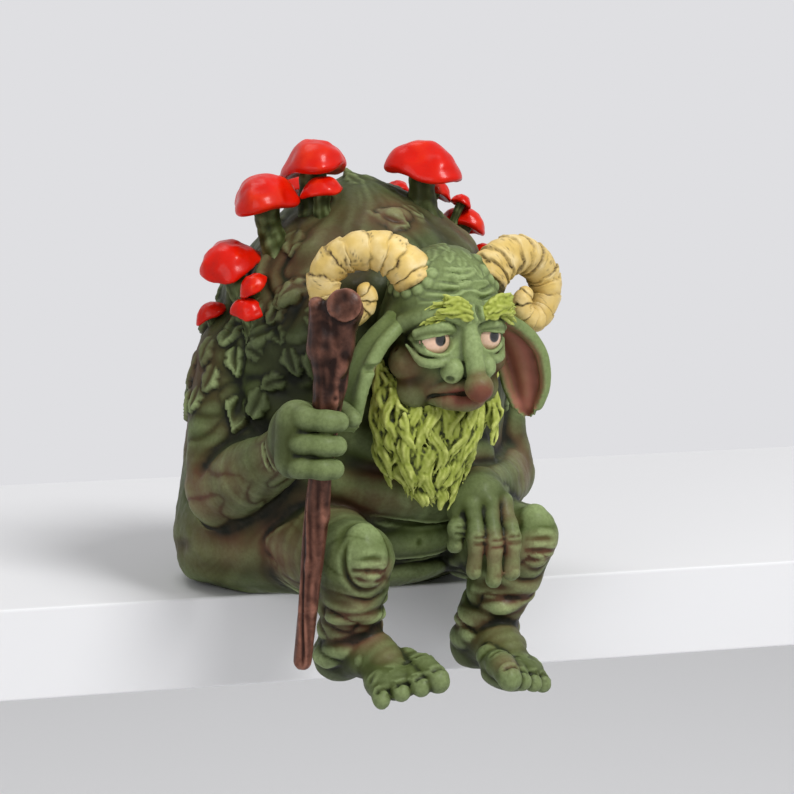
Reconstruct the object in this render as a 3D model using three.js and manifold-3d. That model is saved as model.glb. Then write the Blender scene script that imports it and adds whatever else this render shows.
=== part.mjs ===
// A troll shelf sitter, cast in pieces and glued together. It sits on a board's edge, with its
// feet hanging over and a loose staff through its right fist.
// Millimetres, +Z up. The troll faces -Y and its right hand is at -X. The origin lies in the flat
// seat that rests on the board.
import * as THREE from 'three';
import Module from 'manifold-3d';
import { mergeVertices } from 'three/addons/utils/BufferGeometryUtils.js';

const wasm = await Module();
wasm.setup();

// Fits
const GLUE_GAP = 0.3; // left round every casting that is seated in another
const STAFF_FIT = 0.35; // running clearance of the staff in the fist

// Torso, as sections from the seat up: height, half width, reach to the front, reach to the back
const TORSO_SECTIONS = [
  [0, 27, 10, 25],
  [2.5, 31, 15.5, 29],
  [9, 32.5, 23, 31.5],
  [20, 30.5, 26.5, 32],
  [30, 29.5, 28, 31],
  [40, 29.5, 29, 28.5],
  [50, 29, 29, 25],
  [60, 26, 27.5, 20],
  [69, 20, 22.5, 14],
  [75.5, 13, 14.5, 9.5],
  [79.5, 6, 7.5, 4],
];
const TORSO_PEAK = 80.5;
const SECTION_FULLNESS = 2.3; // 2 is an ellipse, more is squarer

// Relief of the torso: heavy rolls across the back, and rows of hanging lobes over the hump
const ROLL_HEIGHT = 8.5;
const ROLL_COUNT = 5;
const ROLL_DEPTH = 1.5;
const ROLL_STEPS = 4;
const LOBE_HEIGHT = 9.5;
const LOBE_COUNT = 16;
const LOBE_DEPTH = 1.4;
const LOBE_STEPS = 3;
const TORSO_SIDES = 48;

// Head: its middle, its half sizes and what stands on it, measured from its middle
const HEAD_FORWARD = 35;
const HEAD_RISE = 55.5;
const HEAD_HALF = [11.5, 10.5, 13];
const MUZZLE_HALF = [8.5, 7.5, 7];
const MUZZLE_DROP = 10;
const MUZZLE_FORWARD = 0.5;
const CHEEK_RADIUS = 3.8;
const CHEEK_SPREAD = 6.6;
const CHEEK_DROP = 6;
const NOSE_LENGTH = 11;
const NOSE_REACH = 4;
const NOSE_BRIDGE_RADIUS = 2.1;
const NOSE_TIP_RADIUS = 3.2;
const NOSTRIL_RADIUS = 2.3;
const NOSTRIL_SPREAD = 3.3;
const LIP_RADIUS = 1.5;
const LIP_HALF_WIDTH = 4.5;
const LIP_DROP = 3;
const EYE_RADIUS = 3.2;
const EYE_SPREAD = 5.5;
const EYE_DROP = 2.8;
const EYE_SINK = 2.4;
const LID_THICKNESS = 1;
const BROW_RADIUS = 1.9;
const BROW_SPREAD = [2.2, 9];
const BROW_RISE = [3, 1.6];

// Horns, ridged coils that stand out sideways and a little back. The line gives how far out and
// how far up each point of a horn's middle lies from its root.
const HORN_ROOT_SPREAD = 8.4;
const HORN_ROOT_RISE = 10.4;
const HORN_ROOT_FORWARD = 0.8;
const HORN_LINE = [
  [-1.6, -2.6], [0, 0], [3.4, 2.6], [7.6, 3.3], [12, 2.1], [14.9, -0.8],
  [15.2, -4.6], [13.4, -7.7], [10.4, -8.6], [7.9, -6.9], [7.5, -4.5], [9, -3],
];
const HORN_ROOT_RADIUS = 4;
const HORN_TIP_RADIUS = 1.3;
const RIGHT_HORN_SWEEP = 24; // degrees back from straight out
const LEFT_HORN_SWEEP = 16;
const LEFT_HORN_DIP = 10; // degrees that the left coil hangs lower than the right one
const HORN_DRAW_OUT = 2.5; // how far the tip stands in front of the coil's plane
const HORN_RIDGES = 11;
const HORN_RIDGE_DEPTH = 0.3;

// Ears, cupped leaves that hang from a thick root. The line gives how far out, how far back and how
// far down each point of an ear's middle lies from its root.
const EAR_ROOT = [9, -0.5, 3.5];
const EAR_LINE = [[0, 0, 0], [6.2, 0.9, 5.5], [9.6, 1.3, 13.5], [10.8, 1.7, 21.5]];
const EAR_HALF_WIDTH = 4.4;
const EAR_HALF_THICKNESS = 1.9;
const EAR_CUP = 1.6; // depth of the hollow
const EAR_RIM = 1;
const RIGHT_EAR_TURN = 70; // degrees that the hollow looks inward from straight ahead
const LEFT_EAR_TURN = 48;

// Beard: a thick mass under the face with pointed locks along its edge
const BEARD_HALF_WIDTH = 12.5;
const BEARD_LENGTH = 24;
const BEARD_DEPTH = 6;
const BEARD_DROP = 14.6;
const BEARD_SET_BACK = 4.6;
const LOCK_COUNT = 9;
const LOCK_RADIUS = 2.9;
const LOCK_TIP_RADIUS = 0.6;

// Arms
const SHOULDER_HEIGHT = 45;
const SHOULDER_SINK = 4;
const SHOULDER_RADIUS = 9.3;
const ELBOW_HEIGHT = 21;
const RIGHT_ELBOW_TURN = 188;
const LEFT_ELBOW_TURN = -24;
const ELBOW_RADIUS = 7.6;
const ELBOW_SINK = 0.5;
const WRIST_RADIUS = 4.8;
const RIGHT_FOREARM = [1.4, -24.5, 11.5];
const LEFT_FOREARM = [-16.8, -19.5, 0.5];

// Staff, from its foot to the cut end of its knob
const STAFF_LENGTH = 72.5;
const STAFF_GRIP_HEIGHT = 43; // from the foot to the middle of the fist
const STAFF_FOOT_RADIUS = 1.8;
const STAFF_GRIP_RADIUS = 2.6;
const STAFF_NECK_RADIUS = 3.2;
const STAFF_KNOB_RADIUS = 3.5;
const STAFF_LEAN = [0.078, -0.063, 1];
const STAFF_SHOULDER = 1; // height over which the neck widens above the fist
const STAFF_LEAD = 2; // straight run below the fist
const STAFF_CROOK = 0.6; // sideways set of the knob
const STUB_RADIUS = 1.5;
const STUB_LENGTH = 7;

// Fist round the staff, and the open left hand
const RIGHT_GRIP = [2, -9.6, 2.6]; // from the wrist to the staff
const FIST_HALF_HEIGHT = 6.6;
const FIST_FACING = 30; // degrees that the knuckles face to the right of straight ahead
const PALM_HALF = [4.8, 5.2];
const PALM_OFFSET = 4.4;
const PALM_TURN = 215; // degrees round the staff
const FIST_FINGER_RADIUS = 2.3;
const FIST_FINGERS = 3;
const FIST_WRAP = [195, 15]; // degrees round the staff, from the knuckles to the finger tips
const THUMB_WRAP = [250, 335];
const HAND_HALF = [6, 3.4, 4.6];
const HAND_SPREAD = 9.6;
const FINGER_RADIUS = 1.9;
const FINGER_LENGTHS = [8, 12.5, 14, 12]; // the thumb first

// Legs and feet
const HIP_SPREAD = 16;
const HIP_RADIUS = 10.2;
const HIP_FLOOR = 1.3; // left in the torso under each hip
const RIGHT_THIGH = [2, -33, 0];
const LEFT_THIGH = [1.6, -33, 0];
const KNEE_RADIUS = 7.2;
const KNEECAP_HALF = [4.8, 3.6, 5.6];
const SHIN = [-2.4, 7.5, -17];
const LEFT_SHIN_EXTRA = 1.6;
const ANKLE_RADIUS = 5;
const HEEL_BACK = 5.5;
const HEEL_RADIUS = 5;
const FOOT_LENGTH = 16;
const FOOT_DROP = 2.5;
const RIGHT_TOE_IN = 3.6;
const LEFT_TOE_IN = 1.4;
const BALL_HALF = [6, 5.5, 3.9];
const TOE_RADII = [2.7, 2.3, 2.2, 2.1];
const TOE_REACH = [4.4, 3.6, 2.2, 0.6];
const TOE_SPREAD = 9;
const FOOT_ROLL = 3.2; // the big toe's side stands higher than the little toe's by this

// Mushrooms on each side of the hump: height and turn of the foot on the torso, stalk length,
// cap radius, and how far the stalk leans out from upright
const RIGHT_MUSHROOMS = [
  [76, 197, 6.4, 6.4, 0],
  [74.7, 215, 3.8, 3.3, 0.5],
  [69, 185, 7.5, 6.4, 0.6],
  [60, 180, 5, 5.6, 0.8],
  [58.5, 194, 2.8, 2.7, 0.7],
  [54, 194, 2.8, 2.8, 0.7],
  [51.5, 174, 3.4, 2.9, 0.6],
  [72, 110, 5.5, 3.8, 0.6],
];
const LEFT_MUSHROOMS = [
  [75.5, -40, 6, 6.7, 0],
  [73, 0, 4, 3.2, 0.6],
  [69.5, -6, 5.4, 2.2, 0.7],
  [66.5, 0, 4.2, 3.8, 0.7],
  [61.5, -6, 3.6, 2, 0.7],
  [61.5, 7, 3.6, 1.8, 0.7],
  [50.5, -12, 3.2, 2.9, 0.7],
  [70.5, 42, 6, 2.6, 0.6],
];
const CAP_HEIGHT = 0.95; // of the cap's radius
const STALK_RADIUS = 0.36; // of the cap's radius
const STALK_SINK = 3;
const STALK_REACH = 0.4; // of the cap's height, that the stalk goes up into it

// Finishes
const SKIN = { color: 0x4f6b3a, roughness: 0.6, metalness: 0 };
const BEARD_PAINT = { color: 0x8c9b35, roughness: 0.6, metalness: 0 };
const HORN_PAINT = { color: 0xd6b86a, roughness: 0.55, metalness: 0 };
const EYE_PAINT = { color: 0xe6c4a0, roughness: 0.3, metalness: 0 };
const CAP_PAINT = { color: 0xd8321a, roughness: 0.35, metalness: 0 };
const STAFF_PAINT = { color: 0x4a2522, roughness: 0.55, metalness: 0 };

const RIGHT = -1;
const LEFT = 1;
const ROOT = new THREE.Vector2(0, 0);
const UP = new THREE.Vector3(0, 0, 1);
const FRONT = new THREE.Vector3(0, -1, 0);

const vector = (x, y, z) => new THREE.Vector3(x, y, z);
const degrees = (angle) => THREE.MathUtils.degToRad(angle);
const mix = THREE.MathUtils.lerp;
const signedPower = (value, power) => Math.sign(value) * Math.abs(value) ** power;

function solid(geometry) {
  geometry.deleteAttribute('normal');
  geometry.deleteAttribute('uv');
  const merged = mergeVertices(geometry);
  return new wasm.Manifold(new wasm.Mesh({
    numProp: 3,
    vertProperties: new Float32Array(merged.attributes.position.array),
    triVerts: new Uint32Array(merged.index.array),
  }));
}

const join = (...bodies) => bodies.reduce((whole, body) => whole.add(body));

// An ellipsoid
function ball(centre, half, grow = 0, sides = 16) {
  const geometry = new THREE.SphereGeometry(1, sides, Math.round(sides * 0.6));
  geometry.scale(half[0] + grow, half[1] + grow, half[2] + grow);
  geometry.translate(centre.x, centre.y, centre.z);
  return solid(geometry);
}

const sphere = (centre, radius, grow = 0, sides = 12) =>
  ball(centre, [radius, radius, radius], grow, sides);

// Rings of points joined into one skin, with a pole at each end
function skin(rings, firstPole, lastPole) {
  const sides = rings[0].length;
  const points = [firstPole, ...rings.flat(), lastPole];
  const index = [];
  const at = (ring, side) => 1 + ring * sides + (side % sides);
  const end = points.length - 1;
  for (let side = 0; side < sides; side += 1) {
    index.push(0, at(0, side + 1), at(0, side));
    index.push(end, at(rings.length - 1, side), at(rings.length - 1, side + 1));
    for (let ring = 0; ring + 1 < rings.length; ring += 1) {
      index.push(at(ring, side), at(ring, side + 1), at(ring + 1, side));
      index.push(at(ring, side + 1), at(ring + 1, side + 1), at(ring + 1, side));
    }
  }
  const geometry = new THREE.BufferGeometry().setFromPoints(points);
  geometry.setIndex(index);
  return solid(geometry);
}

// A limb with round ends along a smooth line of points. Its radius goes through the radii in
// turn, and across gives the direction of its width where it is flatter than it is wide.
function limb(points, radii, grow = 0, { sides = 10, steps = 6, across = UP, flat = 1 } = {}) {
  const line = new THREE.CatmullRomCurve3(points);
  const rings = [];
  const ringAt = (share, slide, size) => {
    const along = line.getTangent(share);
    const centre = line.getPoint(share).addScaledVector(along, slide);
    const helper = Math.abs(across.dot(along)) > 0.95 ? FRONT : across;
    const wide = helper.clone().addScaledVector(along, -helper.dot(along)).normalize();
    const thin = along.clone().cross(wide);
    const place = share * (radii.length - 1);
    const low = Math.min(Math.floor(place), radii.length - 2);
    const radius = mix(radii[low], radii[low + 1], place - low);
    return Array.from({ length: sides }, (_, side) => {
      const turn = (side / sides) * 2 * Math.PI;
      return centre.clone()
        .addScaledVector(wide, Math.cos(turn) * (radius + grow) * size)
        .addScaledVector(thin, Math.sin(turn) * (radius * flat + grow) * size);
    });
  };
  const startRadius = radii[0] * flat + grow;
  const endRadius = radii[radii.length - 1] * flat + grow;
  const round = degrees(45);
  rings.push(ringAt(0, -startRadius * Math.cos(round), Math.sin(round)));
  for (let step = 0; step <= steps; step += 1) rings.push(ringAt(step / steps, 0, 1));
  rings.push(ringAt(1, endRadius * Math.cos(round), Math.sin(round)));
  const first = line.getPoint(0).addScaledVector(line.getTangent(0), -startRadius);
  const last = line.getPoint(1).addScaledVector(line.getTangent(1), endRadius);
  return skin(rings, first, last);
}

// A turned form: its profile of radius and height starts and ends on the axis
function turned(profile, foot, along, grow = 0, sides = 10) {
  const grown = profile.map(([radius, height], i) => {
    if (i === 0) return new THREE.Vector2(0, height - grow);
    if (i === profile.length - 1) return new THREE.Vector2(0, height + grow);
    const rise = profile[i + 1][1] - profile[i - 1][1];
    const widen = profile[i + 1][0] - profile[i - 1][0];
    const length = Math.hypot(rise, widen);
    return new THREE.Vector2(radius + (grow * rise) / length, height - (grow * widen) / length);
  });
  const geometry = new THREE.LatheGeometry(grown, sides);
  const turn = new THREE.Quaternion().setFromUnitVectors(vector(0, 1, 0), along);
  geometry.applyQuaternion(turn);
  geometry.translate(foot.x, foot.y, foot.z);
  return solid(geometry);
}

// The torso's outline at a height, and a point and its outward direction on its surface
function sectionAt(height) {
  const rows = [...TORSO_SECTIONS, [TORSO_PEAK, 0, ...peakReach()]];
  let row = 0;
  while (row < rows.length - 2 && height > rows[row + 1][0]) row += 1;
  const share = (height - rows[row][0]) / (rows[row + 1][0] - rows[row][0]);
  return rows[row].map((value, i) => mix(value, rows[row + 1][i], share));
}

function peakReach() {
  const [, , front, back] = TORSO_SECTIONS[TORSO_SECTIONS.length - 1];
  const lean = (front - back) / 2;
  return [lean, -lean];
}

function onTorso(height, turn) {
  const [, half, front, back] = sectionAt(height);
  const power = 2 / SECTION_FULLNESS;
  const side = signedPower(Math.cos(degrees(turn)), power);
  const depth = signedPower(Math.sin(degrees(turn)), power);
  return vector(half * side, (back - front) / 2 + ((back + front) / 2) * depth, height);
}

function outOfTorso(height, turn) {
  const step = 1.5;
  const above = onTorso(Math.min(height + step, TORSO_PEAK), turn);
  const rise = above.sub(onTorso(Math.max(height - step, 0), turn));
  const round = onTorso(height, turn + 4).sub(onTorso(height, turn - 4));
  return round.cross(rise).normalize();
}

// How far the relief stands out. Rolls fade towards the belly, and lobes hang thickest at their tips.
function relief(height, turn) {
  const rolled = ROLL_COUNT * ROLL_HEIGHT;
  const round = degrees(turn);
  if (height < rolled) {
    const share = (height % ROLL_HEIGHT) / ROLL_HEIGHT;
    const fade = THREE.MathUtils.smoothstep(Math.sin(round), -0.4, 0.1);
    return ROLL_DEPTH * Math.sin(share * Math.PI) * fade;
  }
  const row = Math.floor((height - rolled) / LOBE_HEIGHT);
  const hang = 1 - ((height - rolled) % LOBE_HEIGHT) / LOBE_HEIGHT;
  const across = Math.abs(Math.sin((round * LOBE_COUNT) / 2 + (row % 2) * (Math.PI / 2)));
  return LOBE_DEPTH * hang * across;
}

// The heights at which the torso has a ring of points: enough for each roll and row of lobes
function ringHeights() {
  const rolled = ROLL_COUNT * ROLL_HEIGHT;
  const rolls = Array.from({ length: ROLL_COUNT * ROLL_STEPS }, (_, i) => (i * ROLL_HEIGHT) / ROLL_STEPS);
  const top = TORSO_SECTIONS[TORSO_SECTIONS.length - 1][0];
  const lobes = [];
  for (let height = rolled; height < top; height += LOBE_HEIGHT / LOBE_STEPS) lobes.push(height);
  return [...rolls, ...lobes, top];
}

function torso(grow = 0) {
  const rings = ringHeights().map((height) => Array.from({ length: TORSO_SIDES }, (_, side) => {
    const turn = (side / TORSO_SIDES) * 360;
    return onTorso(height, turn)
      .addScaledVector(outOfTorso(height, turn), relief(height, turn) + grow);
  }));
  const [, , front, back] = TORSO_SECTIONS[0];
  const peak = onTorso(TORSO_PEAK, 0).addScaledVector(UP, grow);
  return skin(rings, vector(0, (back - front) / 2, 0), peak);
}

// Points on the head, from its middle: to the side, up and out of the front of the skull
const headMiddle = vector(0, -HEAD_FORWARD, HEAD_RISE);

function onHead(side, rise, out = 0) {
  const left = 1 - (side / HEAD_HALF[0]) ** 2 - (rise / HEAD_HALF[2]) ** 2;
  const reach = HEAD_HALF[1] * Math.sqrt(Math.max(left, 0));
  return headMiddle.clone().add(vector(side, -reach - out, rise));
}

const eyeMiddle = (side) => onHead(side * EYE_SPREAD, -EYE_DROP, -EYE_SINK);

const eye = (side) => (grow = 0) => sphere(eyeMiddle(side), EYE_RADIUS, grow, 10);

const muzzleMiddle = headMiddle.clone().add(vector(0, -MUZZLE_FORWARD, -MUZZLE_DROP));

function head(grow = 0) {
  const bridge = onHead(0, 0.5);
  const tip = bridge.clone().add(vector(0, -NOSE_REACH, -NOSE_LENGTH));
  const middle = bridge.clone().lerp(tip, 0.5).add(vector(0, -NOSE_REACH / 4, 0));
  const lip = muzzleMiddle.clone().add(vector(0, -MUZZLE_HALF[1], -LIP_DROP));
  const corner = vector(LIP_HALF_WIDTH, MUZZLE_HALF[1] * 0.2, 0);
  const noseRadii = [NOSE_BRIDGE_RADIUS, NOSE_TIP_RADIUS * 0.8, NOSE_TIP_RADIUS];
  const lipRadii = [LIP_RADIUS * 0.6, LIP_RADIUS, LIP_RADIUS * 0.6];
  const forms = [
    ball(headMiddle, HEAD_HALF, grow, 16),
    ball(muzzleMiddle, MUZZLE_HALF, grow, 12),
    limb([bridge, middle, tip], noseRadii, grow, { sides: 7, steps: 2 }),
    limb([lip.clone().add(corner), lip, lip.clone().add(corner.clone().setX(-LIP_HALF_WIDTH))],
      lipRadii, grow, { sides: 6, steps: 2 }),
  ];
  for (const side of [RIGHT, LEFT]) {
    const nostril = tip.clone().add(vector(side * NOSTRIL_SPREAD, NOSE_TIP_RADIUS, NOSTRIL_RADIUS));
    forms.push(sphere(onHead(side * CHEEK_SPREAD, -CHEEK_DROP, -1), CHEEK_RADIUS, grow, 8));
    forms.push(sphere(nostril, NOSTRIL_RADIUS, grow, 7));
    forms.push(sphere(eyeMiddle(side), EYE_RADIUS + LID_THICKNESS, grow, 10));
  }
  let body = join(...forms);
  if (grow > 0) return body;
  for (const side of [RIGHT, LEFT]) {
    const opening = eyeMiddle(side).add(vector(0, -EYE_RADIUS, -LID_THICKNESS / 2));
    body = body.subtract(ball(opening, [EYE_RADIUS, EYE_RADIUS, EYE_RADIUS * 0.6], 0, 8));
  }
  return body;
}

function brow(side) {
  const [inner, outer] = BROW_SPREAD;
  const points = [[inner, BROW_RISE[0]], [(inner + outer) / 2, BROW_RISE[0]], [outer, BROW_RISE[1]]]
    .map(([spread, rise]) => onHead(side * spread, rise, BROW_RADIUS / 4));
  return (grow = 0) =>
    limb(points, [BROW_RADIUS * 0.8, BROW_RADIUS, BROW_RADIUS * 0.5], grow, { sides: 6, steps: 3 });
}

function horn(side) {
  const back = degrees(side === LEFT ? LEFT_HORN_SWEEP : RIGHT_HORN_SWEEP);
  const out = vector(side * Math.cos(back), Math.sin(back), 0);
  const facing = vector(side * Math.sin(back), -Math.cos(back), 0);
  const root = headMiddle.clone()
    .add(vector(side * HORN_ROOT_SPREAD, -HORN_ROOT_FORWARD, HORN_ROOT_RISE));
  const dip = new THREE.Vector2();
  const turn = degrees(side === LEFT ? -LEFT_HORN_DIP : 0);
  const points = HORN_LINE.map((place, i) => root.clone()
    .addScaledVector(out, dip.fromArray(place).rotateAround(ROOT, turn).x)
    .addScaledVector(UP, dip.y)
    .addScaledVector(facing, HORN_DRAW_OUT * (i / (HORN_LINE.length - 1)) ** 2));
  const radii = Array.from({ length: HORN_RIDGES * 2 + 1 }, (_, i) => {
    const plain = mix(HORN_ROOT_RADIUS, HORN_TIP_RADIUS, i / (HORN_RIDGES * 2));
    return plain - (i % 2 ? HORN_RIDGE_DEPTH : 0);
  });
  return (grow = 0) => limb(points, radii, grow, { sides: 7, steps: HORN_RIDGES * 2, across: facing });
}

function ear(side) {
  const turn = degrees(side === LEFT ? LEFT_EAR_TURN : RIGHT_EAR_TURN);
  const inward = vector(-side * Math.sin(turn), -Math.cos(turn), 0);
  const across = vector(side * Math.cos(turn), -Math.sin(turn), 0);
  const root = headMiddle.clone().add(vector(side * EAR_ROOT[0], EAR_ROOT[1], EAR_ROOT[2]));
  const points = EAR_LINE.map(([out, back, down]) => root.clone().add(vector(side * out, back, -down)));
  const half = EAR_HALF_WIDTH;
  const leaf = (line, halfWidth, grow) => limb(line,
    [0.6, 0.85, 1, 0.75, 0.25].map((share) => halfWidth * share), grow,
    { sides: 8, steps: 6, across, flat: EAR_HALF_THICKNESS / half });
  return (grow = 0) => {
    const body = leaf(points, half, grow);
    if (grow > 0) return body;
    const hollow = points.slice(1).map((point) =>
      point.clone().addScaledVector(inward, EAR_HALF_THICKNESS * 2 - EAR_CUP));
    return body.subtract(leaf(hollow, half - EAR_RIM, 0));
  };
}

function beard(grow = 0) {
  const top = headMiddle.clone().add(vector(0, BEARD_SET_BACK, -BEARD_DROP));
  const bib = top.clone().add(vector(0, -1, -BEARD_LENGTH * 0.3));
  const forms = [
    ball(top, [BEARD_HALF_WIDTH, BEARD_DEPTH, BEARD_LENGTH * 0.3], grow, 14),
    ball(bib, [BEARD_HALF_WIDTH * 0.7, BEARD_DEPTH, BEARD_LENGTH * 0.45], grow, 12),
  ];
  for (let lock = 0; lock < LOCK_COUNT; lock += 1) {
    const aside = (2 * lock) / (LOCK_COUNT - 1) - 1;
    const root = top.clone().add(vector(aside * BEARD_HALF_WIDTH * 0.85, -BEARD_DEPTH * 0.3, 0));
    const length = BEARD_LENGTH * mix(0.9, 0.42, aside ** 2);
    const tip = root.clone().add(vector(-aside * BEARD_HALF_WIDTH * 0.3, 0.5, -length));
    const belly = root.clone().lerp(tip, 0.5).add(vector(0, -BEARD_DEPTH * 0.35 * (1 - aside ** 2), 0));
    forms.push(limb([root, belly, tip], [LOCK_RADIUS, LOCK_RADIUS, LOCK_TIP_RADIUS], grow,
      { sides: 5, steps: 3 }));
  }
  return join(...forms);
}

// Arms: the shoulder and elbow are set into the torso's side, and the wrist hangs on the elbow
const elbowTurn = { [RIGHT]: RIGHT_ELBOW_TURN, [LEFT]: LEFT_ELBOW_TURN };
const forearm = { [RIGHT]: RIGHT_FOREARM, [LEFT]: LEFT_FOREARM };

function armJoints(side) {
  const across = side === RIGHT ? 180 : 0;
  const shoulder = onTorso(SHOULDER_HEIGHT, across)
    .addScaledVector(outOfTorso(SHOULDER_HEIGHT, across), -SHOULDER_SINK);
  const elbow = onTorso(ELBOW_HEIGHT, elbowTurn[side])
    .addScaledVector(outOfTorso(ELBOW_HEIGHT, elbowTurn[side]), -ELBOW_SINK);
  const wrist = elbow.clone().add(vector(...forearm[side]));
  return { shoulder, elbow, wrist };
}

function arm(side) {
  const { shoulder, elbow, wrist } = armJoints(side);
  return (grow = 0) => join(
    limb([shoulder, elbow], [SHOULDER_RADIUS, SHOULDER_RADIUS, ELBOW_RADIUS], grow,
      { sides: 12, steps: 3 }),
    limb([elbow, wrist], [ELBOW_RADIUS, WRIST_RADIUS], grow, { sides: 12, steps: 2 }),
  );
}

// Staff: a straight lower stick that runs through the fist, and a crooked knob above it
const staffAxis = vector(...STAFF_LEAN).normalize();
const rightWrist = armJoints(RIGHT).wrist;
const facing = vector(-Math.sin(degrees(FIST_FACING)), -Math.cos(degrees(FIST_FACING)), 0);
const wrapRight = staffAxis.clone().cross(facing).normalize();
const wrapFront = wrapRight.clone().cross(staffAxis).normalize();
const fingerOrbit = STAFF_GRIP_RADIUS + STAFF_FIT + FIST_FINGER_RADIUS;
const gripPoint = rightWrist.clone().add(vector(...RIGHT_GRIP));

const onStaff = (height, aside = 0) => gripPoint.clone()
  .addScaledVector(staffAxis, height - STAFF_GRIP_HEIGHT)
  .addScaledVector(wrapRight, aside);

function staff(grow = 0) {
  const stop = STAFF_GRIP_HEIGHT + FIST_HALF_HEIGHT + GLUE_GAP;
  const neck = stop + STAFF_SHOULDER;
  const straight = turned([
    [0, 0],
    [STAFF_FOOT_RADIUS, 0],
    [STAFF_GRIP_RADIUS, STAFF_GRIP_HEIGHT - FIST_HALF_HEIGHT - STAFF_LEAD],
    [STAFF_GRIP_RADIUS, stop],
    [STAFF_NECK_RADIUS, neck],
    [STAFF_NECK_RADIUS, neck + STAFF_SHOULDER],
    [0, neck + STAFF_SHOULDER],
  ], onStaff(0), staffAxis, grow, 10);
  const crook = limb([
    onStaff(neck + STAFF_NECK_RADIUS / 2),
    onStaff(mix(neck, STAFF_LENGTH, 0.5), STAFF_CROOK * 0.3),
    onStaff(STAFF_LENGTH - STAFF_KNOB_RADIUS, STAFF_CROOK),
  ], [STAFF_NECK_RADIUS, STAFF_NECK_RADIUS, STAFF_KNOB_RADIUS * 1.1], grow, { sides: 10, steps: 4 });
  const stubRoot = onStaff(STAFF_LENGTH - STAFF_KNOB_RADIUS * 1.6, STAFF_CROOK);
  const stubTip = stubRoot.clone().addScaledVector(wrapRight, -STUB_LENGTH)
    .addScaledVector(staffAxis, STUB_LENGTH * 0.35);
  return join(straight, crook, limb([stubRoot, stubTip], [STUB_RADIUS * 1.5, STUB_RADIUS], grow,
    { sides: 8, steps: 2 }));
}

const roundStaff = (turn, orbit, height) => onStaff(STAFF_GRIP_HEIGHT + height)
  .addScaledVector(wrapRight, orbit * Math.cos(degrees(turn)))
  .addScaledVector(wrapFront, orbit * Math.sin(degrees(turn)));

function wrapped(turns, height, radius, grow) {
  const count = 4;
  const points = Array.from({ length: count + 1 }, (_, i) =>
    roundStaff(mix(...turns, i / count), fingerOrbit, height));
  return limb(points, [radius, radius, radius * 0.9], grow, { sides: 6, steps: 4 });
}

function fist(grow = 0) {
  const palm = roundStaff(PALM_TURN, PALM_OFFSET, 0);
  const top = FIST_HALF_HEIGHT - FIST_FINGER_RADIUS;
  const pitch = (2 * top) / (FIST_FINGERS - 1);
  const forms = [
    ball(palm, [...PALM_HALF, FIST_HALF_HEIGHT], grow, 10),
    limb([palm, rightWrist], [WRIST_RADIUS * 0.9, WRIST_RADIUS * 0.7], grow, { sides: 8, steps: 1 }),
    wrapped(THUMB_WRAP, top, FINGER_RADIUS, grow),
  ];
  for (let finger = 0; finger < FIST_FINGERS; finger += 1) {
    forms.push(wrapped(FIST_WRAP, top - finger * pitch, FIST_FINGER_RADIUS, grow));
  }
  const body = join(...forms);
  if (grow > 0) return body;
  const reach = FIST_HALF_HEIGHT * 3;
  const bore = STAFF_GRIP_RADIUS + STAFF_FIT;
  return body.subtract(turned([[0, -reach], [bore, -reach], [bore, reach], [0, reach]],
    gripPoint, staffAxis, 0, 10));
}

function openHand(grow = 0) {
  const { elbow, wrist } = armJoints(LEFT);
  const along = wrist.clone().sub(elbow).normalize();
  const palm = wrist.clone().addScaledVector(along, HAND_HALF[1]).add(vector(0, 0, -HAND_HALF[2] / 3));
  const forms = [
    ball(palm, HAND_HALF, grow, 10),
    limb([wrist, palm], [WRIST_RADIUS * 0.8, HAND_HALF[1]], grow, { sides: 10, steps: 2 }),
  ];
  FINGER_LENGTHS.forEach((length, finger) => {
    const aside = finger / (FINGER_LENGTHS.length - 1) - 0.5;
    const knuckle = palm.clone().add(vector(aside * HAND_SPREAD, -HAND_HALF[1] * 0.6, 0));
    const middle = knuckle.clone().add(vector(aside, -FINGER_RADIUS, -length * 0.5));
    const tip = knuckle.clone().add(vector(aside * 1.5, -FINGER_RADIUS * 0.6, -length));
    forms.push(limb([knuckle, middle, tip], [FINGER_RADIUS, FINGER_RADIUS, FINGER_RADIUS * 0.8], grow,
      { sides: 6, steps: 3, across: vector(1, 0, 0) }));
  });
  return join(...forms);
}

// Legs: the hip is let into the torso just above the seat, the shin and foot hang in front
function legJoints(side) {
  const hip = vector(side * HIP_SPREAD, 0, HIP_RADIUS + HIP_FLOOR);
  const [out, along, rise] = side === LEFT ? LEFT_THIGH : RIGHT_THIGH;
  const knee = hip.clone().add(vector(side * out, along, rise));
  const extra = side === LEFT ? LEFT_SHIN_EXTRA : 0;
  const ankle = knee.clone().add(vector(side * SHIN[0], SHIN[1], SHIN[2] - extra));
  return { hip, knee, ankle };
}

function leg(side) {
  const { hip, knee, ankle } = legJoints(side);
  const kneecap = knee.clone().add(vector(0, -KNEE_RADIUS + KNEECAP_HALF[1] * 0.6, 0));
  return (grow = 0) => join(
    limb([hip, knee], [HIP_RADIUS, KNEE_RADIUS], grow, { sides: 12, steps: 3 }),
    ball(kneecap, KNEECAP_HALF, grow, 10),
    limb([knee, ankle], [KNEE_RADIUS * 0.95, ANKLE_RADIUS * 1.2, ANKLE_RADIUS], grow,
      { sides: 10, steps: 3 }),
  );
}

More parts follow.
